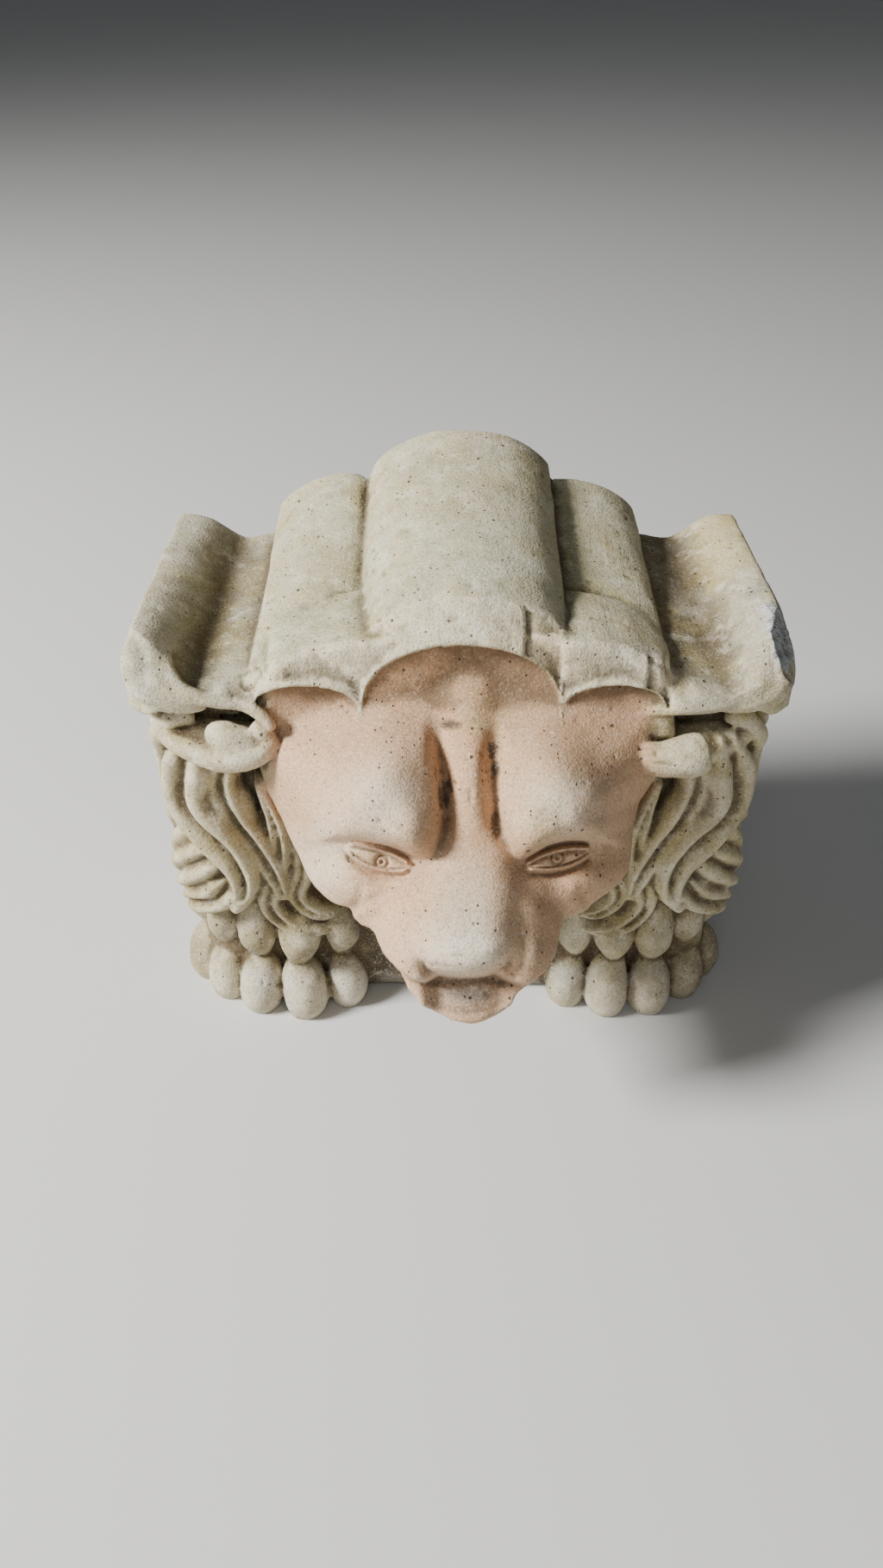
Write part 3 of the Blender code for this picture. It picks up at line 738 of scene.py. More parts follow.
@dataclass
class Face:
    """The lion's head: a mask bowed forward on its own sloping plane, whose edge runs back into the block.

    u runs across the face from its midline, v up it, and w out of it.
    """

    middle: Triple = (2.0, -24.0, 70.9)
    slope: float = math.radians(38.0)
    root: float = 22.0
    brow_line: Sequence[Pair] = (
        (-36, 1), (-27, 2.8), (-20.5, 1.9), (-14.5, 0.9), (-10.5, -0.9), (-8, -1.3), (-6.5, -0.7),
        (-4.8, 1.5), (-3.6, 4), (3.8, 5), (5.6, 2.4), (8, -0.8), (10.3, -1.8), (12.6, -0.5), (16, 1.9),
        (20.1, 2.8), (24.2, 2.4), (28, 2), (36, 0.5),
    )
    scratches: Sequence[Cut] = (
        (0.8, 0.6, ((3.6, 21), (3.2, 16), (3.7, 12.5))),
        (0.5, 0.9, ((-5, 26.5), (-1, 25.6), (3.5, 26.8))),
    )
    strokes: Sequence[Cut] = (
        (0.8, 0.75, ((-12.2, -25.2), (-8, -25.9), (-3, -25.6), (2, -25.2), (6.5, -26.0), (11.0, -26.6))),
        (1.2, 0.7, ((-9.8, -20.2), (-9.0, -22.4), (-7.4, -23.4))),
        (1.2, 0.7, ((8.6, -18.6), (7.6, -21.6), (5.6, -23.2))),
        (1.0, 1.8, ((-11.5, -6.5), (-16.5, -11.0), (-20.5, -15.0))),
        (1.0, 1.8, ((11.0, -6.0), (16.0, -9.5), (20.0, -12.6))),
        (1.0, 0.9, ((-25.6, -12.2), (-23.4, -9.6), (-22.4, -6.6))),
        (0.9, 0.9, ((26.2, -11.2), (23.6, -8.6), (23.0, -6.4))),
        (0.8, 0.9, ((-15.2, -22.4), (-16.8, -17.6), (-17.4, -13.0))),
    )

    def lay_on(self, points: Array) -> tuple[Array, Array, Array]:
        """Where points of the grid lie on the face: across it, up it and out of it.

        Args:
            points: The points.

        Returns:
            The three distances.
        """
        x, y, z = (points - np.array(self.middle)).T
        sine, cosine = math.sin(self.slope), math.cos(self.slope)
        return x, y * sine + z * cosine, z * sine - y * cosine

    def edge(self, side: Side) -> Array:
        """The mask's outline on one side, from the crown down to the chin: across, up, and depth.

        Args:
            side: Which side.

        Returns:
            One row for each corner of the outline.
        """
        if side is Side.LEFT:
            rows = [(0, 44, 0), (20, 42, -2), (33, 41, -4), (41, 38, -6), (43.6, 31, -8), (45.6, 24, -12),
                    (46.4, 18.6, -18), (44.6, 13, -21), (41.6, 7.5, -21), (37.8, -0.6, -19.5),
                    (34.9, -6.3, -18), (31.2, -9.6, -15.5), (28.8, -10.9, -14), (26.2, -11.2, -12.5),
                    (25.2, -11.9, -12),
                    (25, -13.2, -11.5), (23, -14.9, -10.5), (20.9, -15.4, -9.5), (19.8, -16.4, -9),
                    (19.3, -18, -8.5), (17.7, -20.6, -8), (14.8, -23.2, -8), (13.4, -25.9, -9.5),
                    (12.6, -27.8, -10.2), (11, -28.9, -11.2), (10, -30.6, -12.4), (7.6, -32, -13.8),
                    (3.6, -33.9, -15), (0, -34.5, -15.3)]
        else:
            rows = [(0, 44, 0), (20, 42, -2), (33, 41, -4), (40.6, 37, -6), (43, 30, -8), (44.2, 24, -12),
                    (44, 19, -18), (41.2, 15, -21), (38.2, 11, -21), (36.6, 5.3, -20), (36.2, -0.6, -18.5),
                    (35.6, -3.6, -17.5), (32.9, -6.6, -15.5), (29.4, -9, -13.5), (27.2, -10.2, -12.5),
                    (25.9, -11.6, -12), (22.8, -12.9, -10.5), (20.9, -13.2, -9.5), (20, -14.4, -9),
                    (19.3, -16.9, -8.5), (18, -20.8, -8), (15.6, -23.8, -8), (12.6, -26.2, -9),
                    (10.8, -27.4, -10), (9.6, -28.6, -10.8), (9, -30.4, -12), (6.4, -32.6, -14.2),
                    (2.6, -34.2, -15.1), (0, -34.5, -15.3)]
        return np.array(rows, dtype=float)

    def outline(self, turn: Array) -> tuple[Array, Array]:
        """The outline's reach from the middle of the face, and its depth.

        Args:
            turn: The direction, 0 straight up the face, positive to the viewer's right.

        Returns:
            The reach and the depth.
        """
        angles = np.radians(np.arange(-180.0, 180.5, 0.5))
        reach, depth = np.empty_like(angles), np.empty_like(angles)
        for side in Side:
            rows = self.edge(side)
            at = np.arctan2(rows[:, 0], rows[:, 1])
            mine = angles * side.value >= 0
            reach[mine] = np.interp(np.abs(angles[mine]), at, np.hypot(rows[:, 0], rows[:, 1]))
            depth[mine] = np.interp(np.abs(angles[mine]), at, rows[:, 2])
        comb = np.array([1, 2, 3, 2, 1]) / 9.0
        for row in (reach, depth):
            row[2:-2] = np.convolve(row, comb, mode="valid")
        return np.interp(turn, angles, reach), np.interp(turn, angles, depth)

    def nose(self, u: Array, v: Array) -> Array:
        """The nose, from between the brows down to its rounded tip.

        Args:
            u: Across the face.
            v: Up the face.

        Returns:
            The heights.
        """
        middle = np.interp(v, [-22, -12, 0], [-0.5, -0.6, 0.6])
        q = (u - middle) / np.interp(v, [-24, -20, -14, -8, -3, 1, 7], [8.6, 9.8, 9.6, 9.4, 9.0, 8.2, 5.2])
        low = v - np.where(u > 0, 2.6, 0.8) * np.clip(np.abs(u) / 8.5, 0, 1.3) ** 2
        ridge = np.interp(low, [-25.2, -24.3, -23.4, -22.2, -20.6, -18.3, -14, -9.2, -5, -0.7, 5, 10, 20],
                          [-6.0, -1.5, 2.8, 6.4, 8.6, 9.5, 8.8, 7.0, 5.2, 3.8, 2.6, 1.9, 0.4])
        return ridge - 1.9 * q**2 - np.where(q < 0, 2.2, 3.2) * np.abs(q) ** 3.6

    def muzzle(self, u: Array, v: Array) -> Array:
        """The two pads beside the nose, down to the line of the mouth.

        Args:
            u: Across the face.
            v: Up the face.

        Returns:
            The heights.
        """
        a = np.abs(u)
        across = [-20, -17.7, -14.8, -11.3, -9, -5, 0, 4.2, 8.4, 11.9, 15.5, 17.7, 18.8, 20]
        low = [-16.5, -20.4, -22.9, -25.0, -25.3, -23.6, -23.2, -23.6, -25.3, -25.9, -23.6, -21, -16.9, -12.8]
        lip = np.interp(u, across, low)
        pad = 3.0 - 8.2 * (np.clip(a - 10.0, 0.0, None) / 9.4) ** 2.0
        pad = pad - 0.12 * np.clip(v + 12.0, 0.0, None) ** 1.7 + 1.8 * bump(a, v, (13.0, -19.5), (4.5, 4.0))
        pad = pad - 0.7 * bell(a, 9.3, 1.4) * ease(v, -24, -20) * (1 - ease(v, -15, -9))
        pad = pad - 4.4 * (1.0 - ease(a, 5.0, 10.5)) * ease(-v, 19.0, 23.0)
        return pad - 6.5 * ease(lip - v, -1.2, 0.8)

    def chin(self, u: Array, v: Array) -> Array:
        """The lower lip, its rim, and the tuft of the chin.

        Args:
            u: Across the face.
            v: Up the face.

        Returns:
            The heights.
        """
        fall = np.interp(v, [-39, -36.8, -35.3, -33.8, -32, -30.6, -29.9, -29.0, -27.4, -26.4, -25.2, -24],
                         [-26, -20, -15.0, -11.2, -8.6, -8.8, -7.4, -5.2, -4.7, -4.4, -5.0, -7])
        lumps = mounds(u, v, ((1.7, (1.6, -27.4), (4.0, 2.2)), (1.4, (-7.0, -28.0), (2.6, 2.2)),
                              (0.8, (8.2, -27.6), (2.2, 1.8))))
        lumps = lumps - 1.3 * stroke(u, v, [(-4.2, -25.4), (-3.6, -28.0), (-1.6, -30.2)], 0.6)
        pits = 0.5 * np.sin(2.6 * u + 0.6) * np.sin(2.9 * v + 0.2 * u) * bump(u, v, (1.6, -27.4), (4.5, 2.4))
        return fall + lumps + pits - 1.6 * np.abs((u + 0.6) / 10.0) ** 2.6

    def brows(self, u: Array, v: Array) -> tuple[Array, Array]:
        """The heavy brows, cut off below by the line over the eyes and inside by the furrows.

        Args:
            u: Across the face.
            v: Up the face.

        Returns:
            The brows' height, and how far from the midline each furrow lies.
        """
        a = np.abs(u)
        across, up = np.array(self.brow_line).T
        line = np.interp(u, across, up)
        mass = mounds(a, v, ((6.8, (18.2, 10.2), (10.2, 9.2)), (3.2, (15.0, 20.0), (8.0, 7.5)),
                             (4.4, (10.8, 4.4), (4.8, 6.0)), (2.6, (27.0, 8.0), (6.5, 6.0))))
        mass = mass + 2.3 * bell(v - line, 2.2, 2.8) * ease(a, 6.0, 10.0) * (1.0 - ease(a, 25.0, 31.0))
        inner = np.where(u < 0, np.interp(v, [0, 4, 9, 15.5, 21, 26], [6.0, 4.2, 3.9, 4.9, 6.2, 6.8]),
                         np.interp(v, [-0.5, 4, 8, 13, 19, 26], [8.4, 5.8, 4.8, 4.2, 4.3, 5.0]))
        mass = mass * ease(a - inner, -0.8, 3.4)
        return mass * ease(v - line, -0.5, 1.3), inner

    def eye(self, u: Array, v: Array, side: Side) -> Array:
        """One eye: its ball, both lids, and the drilled iris.

        Args:
            u: Across the face.
            v: Up the face.
            side: Which eye.

        Returns:
            The heights.
        """
        if side is Side.LEFT:
            at, tilt, upper, lower, iris = (-18.8, -0.5), math.radians(16.6), 1.0, 2.0, (0.9, -0.9)
        else:
            at, tilt, upper, lower, iris = (18.4, -0.8), math.radians(12.6), 1.2, 1.5, (0.3, -0.2)
        s = side.value
        out, up = (u - at[0]) * s, v - at[1]
        a = out * math.cos(tilt) + up * math.sin(tilt)
        b = -out * math.sin(tilt) + up * math.cos(tilt)
        bow = np.clip(1.0 - (a / 7.0) ** 2, 0.0, 1.0)
        near = 1.0 - ease(np.abs(a), 5.8, 8.0)
        top, bottom = upper * bow, -lower * bow
        inside = ease(top - b, -0.1, 0.5) * ease(b - bottom, -0.1, 0.5)
        middle = (top + bottom) / 2
        round_off = np.clip(1.0 - ((b - middle) / (0.5 * (upper + lower) + 0.3)) ** 2, 0, 1)
        ball = (0.9 + 1.5 * round_off * bow) * inside
        lids = 2.4 * bell(b - top, 0.45, 0.52) + 1.9 * bell(b - bottom, -0.4, 0.52)
        folds = -1.5 * bell(b - top, 1.4, 0.5) - 1.0 * bell(b - bottom, -1.6, 0.7)
        folds = folds - 0.5 * inside * bell(b - top, -0.35, 0.35)
        far = np.hypot(a + iris[0], b - middle - iris[1] - 0.6)
        drill = -0.9 * np.exp(-(((far - 1.25) / 0.4) ** 2)) - 1.2 * np.exp(-((far / 0.55) ** 2))
        return (ball + (lids + folds) * near) * near + drill * inside

    def relief(self, u: Array, v: Array, share: Array, depth: Array) -> Array:
        """How far the face stands out of its plane.

        Args:
            u: Across the face.
            v: Up the face.
            share: 0 at the middle of the face and 1 at its edge.
            depth: How deep the edge lies in that direction.

        Returns:
            The heights.
        """
        a = np.abs(u)
        base = np.interp(v, [-37, -28, -24, -18, -9, -1, 6, 17, 25, 38, 44],
                         [-16, -9, -6.5, -4, -1.2, 0.2, 1.4, 1.2, 0.4, 0.8, 1.5])
        skull = base + (depth - base) * share**4.3
        brow, inner = self.brows(u, v)
        skull = skull + brow + mounds(a, v, (
            (-3.4, (18.0, -2.0), (10.0, 4.2)), (-2.0, (10.4, -3.4), (3.2, 3.2)),
            (2.2, (25.5, -5.2), (6.0, 3.8)), (1.0, (22, -9.5), (4.0, 3.0))))
        furrow = 4.0 * ease(v, -1.0, 6.0) * (1.0 - ease(v, 17.0, 28.0)) + 1.4 * bell(v, 10.0, 4.5) * (u < 0)
        skull = skull - furrow * bell(a - inner, 0.1, 1.9) + 1.3 * bump(u, v, (0.7, 15.0), (2.3, 10.0))
        for deep, width, path in self.scratches:
            skull = skull - deep * stroke(u, v, path, width)
        face = soft_max(skull, self.muzzle(u, v), 1.8)
        chin = self.chin(u, v)
        face = soft_max(face, chin + (depth - chin) * share**7, 0.4)
        face = soft_max(face, self.nose(u, v), 3.2)
        for deep, width, path in self.strokes:
            face = face - deep * stroke(u, v, path, width)
        face = face - 4.3 * ease(v, 17.0, 31.0) - 0.9 * bump(a, v, (32.0, 28.0), (8.0, 5.0))
        niche = -1.7 + 2.4 * bell(u, 0.6, 12.5) + 1.4 * bell(a, 32.0, 7.0)
        wall = (math.sin(self.slope) * v + self.middle[1] - niche) / math.cos(self.slope)
        face = np.where(v > 24.0, soft_max(face, wall, 1.2), face)
        return face - 1.2 * ease(share, 0.955, 1.0) ** 2

    def build(self) -> list[Piece]:
        """The head, carved out of one ball of clay.

        Returns:
            The lump, in a list.
        """
        outwards = np.array([0.0, -math.cos(self.slope), math.sin(self.slope)])
        upwards = np.array([0.0, math.sin(self.slope), math.cos(self.slope)])
        last = 0.86

        def shape(along: Array, turn: Array) -> Array:
            """Places the ball's points on the mask, and the last of them on its skirt.

            Args:
                along: The share of the way from the middle to the root.
                turn: The direction.

            Returns:
                The points.
            """
            reach, depth = self.outline(turn)
            share = np.clip(along / last, 0.0, 1.0)
            u, v = share * reach * np.sin(turn), share * reach * np.cos(turn)
            w = self.relief(u, v, share, depth)
            points = np.array(self.middle) + v[:, None] * upwards + w[:, None] * outwards
            points[:, 0] += u
            run = np.clip((along - last) / (0.98 - last), 0.0, 1.0)
            close = np.clip((along - 0.98) / 0.02, 0.0, 1.0)
            jaw = 0.3 * np.clip(50.0 - points[:, 2], 0.0, None)
            points[:, 1] += (self.root - points[:, 1]) * run
            points[:, 2] += jaw * run**2
            points[:, 0] += 0.04 * (points[:, 0] - self.middle[0]) * np.sin(math.pi * run)
            centre = np.array([self.middle[0], self.root, self.middle[2]])
            return points + (centre - points) * close[:, None]

        return [draw_out("head", 900, 190, shape)]


@dataclass
class Carving:
    """The whole stone: the lumps fused into one, then carved, chipped and thinned."""

    voxel: float = 0.52
    quick_voxel: float = 0.9
    triangles: int = 188000
    back: float = 67.0
    crown: Crown = field(default_factory=Crown)
    face: Face = field(default_factory=Face)
    ears: Ears = field(default_factory=Ears)
    mane: Mane = field(default_factory=Mane)
    paws: Paws = field(default_factory=Paws)
    block: Block = field(default_factory=Block)

    def fuse(self) -> Piece:
        """Makes every lump, joins them and fuses the clay.

        Returns:
            The fused stone, on the carver's grid.
        """
        lumps = []
        for part in (self.crown, self.block, self.face, self.ears, self.mane, self.paws):
            made = part.build()
            log.info("%s: %d lumps", type(part).__name__, len(made))
            lumps += made
        bpy.ops.object.select_all(action="DESELECT")
        for lump in lumps:
            lump.select_set(True)
        bpy.context.view_layer.objects.active = lumps[0]
        bpy.ops.object.join()
        stone = bpy.context.active_object
        stone.name = "carved_lion"
        voxel = self.voxel
        finish_with(stone, "REMESH", mode="VOXEL", voxel_size=voxel, use_smooth_shade=True)
        finish_with(stone, "SMOOTH", factor=0.5, iterations=1)
        return stone

    def trim(self, stone: Piece) -> None:
        """Cuts the flat underside and the flat back.

        Args:
            stone: The stone.
        """
        choose(stone)
        bpy.ops.object.mode_set(mode="EDIT")
        for place, out in (((0, 0, 0), (0, 0, -1)), ((0, self.back, 0), (0, 1, 0))):
            bpy.ops.mesh.select_all(action="SELECT")
            bpy.ops.mesh.bisect(plane_co=place, plane_no=out, use_fill=True, clear_outer=True)
        bpy.ops.object.mode_set(mode="OBJECT")

    def cut_eyes(self, stone: Piece) -> None:
        """Refines the clay round each eye, then cuts the eye into it.

        Args:
            stone: The stone.
        """
        face = self.face
        for finer in (True, False):
            p = read_points(stone)
            u, v, w = face.lay_on(p)
            near = (np.hypot((np.abs(u) - 18.6) / 10.5, (v + 0.6) / 5.0) < 1.0) & (w > -14.0)
            if finer:
                choose(stone)
                bpy.ops.object.mode_set(mode="EDIT")
                bpy.ops.mesh.select_mode(type="VERT")
                bpy.ops.mesh.select_all(action="DESELECT")
                bpy.ops.object.mode_set(mode="OBJECT")
                stone.data.vertices.foreach_set("select", near)
                bpy.ops.object.mode_set(mode="EDIT")
                bpy.ops.mesh.subdivide(number_cuts=1, smoothness=0.0)
                bpy.ops.object.mode_set(mode="OBJECT")
        rise = sum(face.eye(u[near], v[near], side) for side in Side)
        p[near, 1] -= rise * math.cos(face.slope)
        p[near, 2] += rise * math.sin(face.slope)
        write_points(stone, p)

    def chip(self, stone: Piece) -> None:
        """Wears the surface and breaks it where the real one is broken.

        Args:
            stone: The stone.
        """
        p = read_points(stone)
        n = read_normals(stone)
        x, y, z = p.T
        ragged = grit(p, 4.5, 3) + 0.35 * grit(p, 1.6, 4)
        move = np.zeros(len(p))

        bevel = ease(3.1 + 0.25 * ragged - y, -0.2, 0.3) * ease(z - self.crown.under(x), 0.1, 0.6)
        bevel = bevel * (n[:, 1] < -0.15)
        middle_skin = ease(x - 13.6 - 0.5 * ragged, -0.15, 0.25) * (1.0 - ease(x, 20.4, 21.0)) * bevel
        side_skin = ease(x - 38.4 - 0.5 * ragged, -0.15, 0.25) * (1.0 - ease(x, 43.6, 44.4)) * bevel
        move -= 0.85 * middle_skin + 0.8 * side_skin
        move -= 0.9 * bell(x - 13.6 - 0.5 * ragged, 0.0, 0.42) * bevel * ease(z, 101.0, 103.0)
        rough = bevel * (1.0 - middle_skin) * (1.0 - side_skin) * (np.abs(x) < 44.0)
        move += rough * (0.13 * grit(p, 1.6, 5) + 0.12 * grit(p, 0.9, 6))

        nick = (np.hypot(x + 44.0, y - 2.0) < 2.4) & (z > 92)
        move -= 0.8 * nick * (0.6 + 0.4 * ragged)
        live = (y < self.back - 0.2) & (z > 0.2)
        head = (y < -3.0) & (np.abs(x) < 44.0)
        wear = 0.22 * grit(p, 9.0, 11) + np.where(head, 0.05, 0.13) * grit(p, 3.6, 12)
        move += live * (wear + 0.04 * grit(p, 1.3, 13))
        pits = np.clip(grit(p, 1.5, 21) - 0.62, 0.0, None) * np.clip(grit(p, 11.0, 22) + 0.35, 0.0, 1.0)
        move -= live * 1.6 * pits
        p = p + n * move[:, None]

        # The broken front corner of the wing on the viewer's right.
        cut = np.array([0.72, -0.28, 0.63])
        cut /= np.linalg.norm(cut)
        over = (p - np.array([67.6, 8.0, 101.4])) @ cut + 0.5 * grit(p, 3.2, 31) + 0.25 * grit(p, 1.1, 32)
        near = 1.0 - ease(how_far(p, (69.0, 8.0, 101.0), (7.0, 12.0, 8.0)), 0.8, 1.1)
        p = p - cut * (np.clip(over, 0.0, None) * near)[:, None]
        p[:, 1] = np.minimum(p[:, 1], self.back)
        p[:, 2] = np.maximum(p[:, 2], 0.0)
        write_points(stone, p)

    def thin(self, stone: Piece) -> None:
        """Spares triangles on the plain faces and keeps them on the face.

        Args:
            stone: The stone.
        """
        p = read_points(stone)
        keep = stone.vertex_groups.new(name="plain")
        head = (p[:, 1] < 4.0) & (np.abs(p[:, 0]) < 42.0) & (p[:, 2] > 25.0) & (p[:, 2] < 92.0)
        plain = np.flatnonzero(~head)
        keep.add(plain.tolist(), 1.0, "REPLACE")
        count = sum(len(face.vertices) - 2 for face in stone.data.polygons)
        if count > self.triangles:
            finish_with(stone, "DECIMATE", ratio=self.triangles / count, vertex_group="plain",
                        vertex_group_factor=0.6)
        stone.vertex_groups.clear()

    def caps(self, stone: Piece, axis: int) -> Array:
        """Which faces lie on the flat back (axis 1) or on the flat underside (axis 2).

        Args:
            stone: The stone.
            axis: 1 for the back, 2 for the underside.

        Returns:
            True for each such face.
        """
        count = len(stone.data.polygons)
        centres, normals = np.empty(count * 3), np.empty(count * 3)
        stone.data.polygons.foreach_get("center", centres)
        stone.data.polygons.foreach_get("normal", normals)
        place, facing = (self.back, 1.0) if axis == 1 else (0.0, -1.0)
        return (np.abs(centres[axis::3] - place) < 0.05) & (normals[axis::3] * facing > 0.99)

    def grid_caps(self, stone: Piece) -> None:
        """Lays a grid of cuts over the flat back and underside, so that their colour and light run evenly.

        Args:
            stone: The stone.
        """
        choose(stone)
        for axis in (1, 2):
            bpy.ops.object.mode_set(mode="EDIT")
            bpy.ops.mesh.select_mode(type="FACE")
            bpy.ops.mesh.select_all(action="DESELECT")
            bpy.ops.object.mode_set(mode="OBJECT")
            stone.data.polygons.foreach_set("select", self.caps(stone, axis))
            bpy.ops.object.mode_set(mode="EDIT")
            bpy.ops.mesh.dissolve_faces()
            bpy.ops.mesh.hide(unselected=True)
            for across in {0, 1, 2} - {axis}:
                for level in range(-60, 121, 10):
                    line = [0.0, 0.0, 0.0]
                    line[across] = 1.0
                    bpy.ops.mesh.select_all(action="SELECT")
                    bpy.ops.mesh.bisect(plane_co=[level * part for part in line], plane_no=line)
            bpy.ops.mesh.reveal(select=False)
            bpy.ops.object.mode_set(mode="OBJECT")

    def fit(self, stone: Piece) -> tuple[Array, Array]:
        """Brings the carving off the grid into the solid's own box, in metres.

        Args:
            stone: The stone.

        Returns:
            The grid point that becomes the origin's offset, and the metres in one grid step along each axis.
        """
        p = read_points(stone)
        low, high = p.min(axis=0), p.max(axis=0)
        box_low, box_high = (np.array(corner) for corner in SOLID_BOX)
        step = (box_high - box_low) / (high - low)
        write_points(stone, box_low + (p - low) * step)
        return low - box_low / step, step

    def build(self) -> tuple[Piece, Array, Array]:
        """The finished stone and how the grid lies in it.

        Returns:
            The stone, the grid's offset and the metres in a grid step.
        """
        stone = self.fuse()
        self.trim(stone)
        self.cut_eyes(stone)
        self.chip(stone)
        self.thin(stone)
        self.grid_caps(stone)
        choose(stone)
        bpy.ops.object.shade_smooth()
        flat = self.caps(stone, 1) | self.caps(stone, 2)
        stone.data.polygons.foreach_set("use_smooth", ~flat)
        log.info("flat back and underside: %d faces", int(flat.sum()))
        shift, step = self.fit(stone)
        log.info("stone: %d faces", len(stone.data.polygons))
        return stone, shift, step


# Colours and finish.


def linear(red: float, green: float, blue: float) -> Array:
    """A colour given as a screen shows it, as light."""
    c = np.array([red, green, blue]) / 255.0
    return np.where(c <= 0.04045, c / 12.92, ((c + 0.055) / 1.055) ** 2.4)


@dataclass(frozen=True)
class StoneColours:
    """The colours of the weathered stone, as a screen shows them."""

    body: Triple = (172, 161, 126)
    crown: Triple = (178, 175, 144)
    wing: Triple = (150, 144, 122)
    shaded_wing: Triple = (116, 110, 92)
    flesh: Triple = (198, 163, 130)
    rust: Triple = (212, 164, 124)
    cream: Triple = (232, 224, 204)
    ochre: Triple = (206, 188, 144)
    yellow: Triple = (202, 186, 120)
    olive: Triple = (158, 148, 104)
    # hollow and the colour after it also paint shade in recesses and creases; cream also paints highlights on
    # the face.
    hollow: Triple = (84, 70, 50)
    soot_and_shadow: Triple = (58, 52, 44)
    fresh: Triple = (196, 200, 200)
    blue_wear: Triple = (186, 192, 198)
    mouth: Triple = (140, 130, 120)


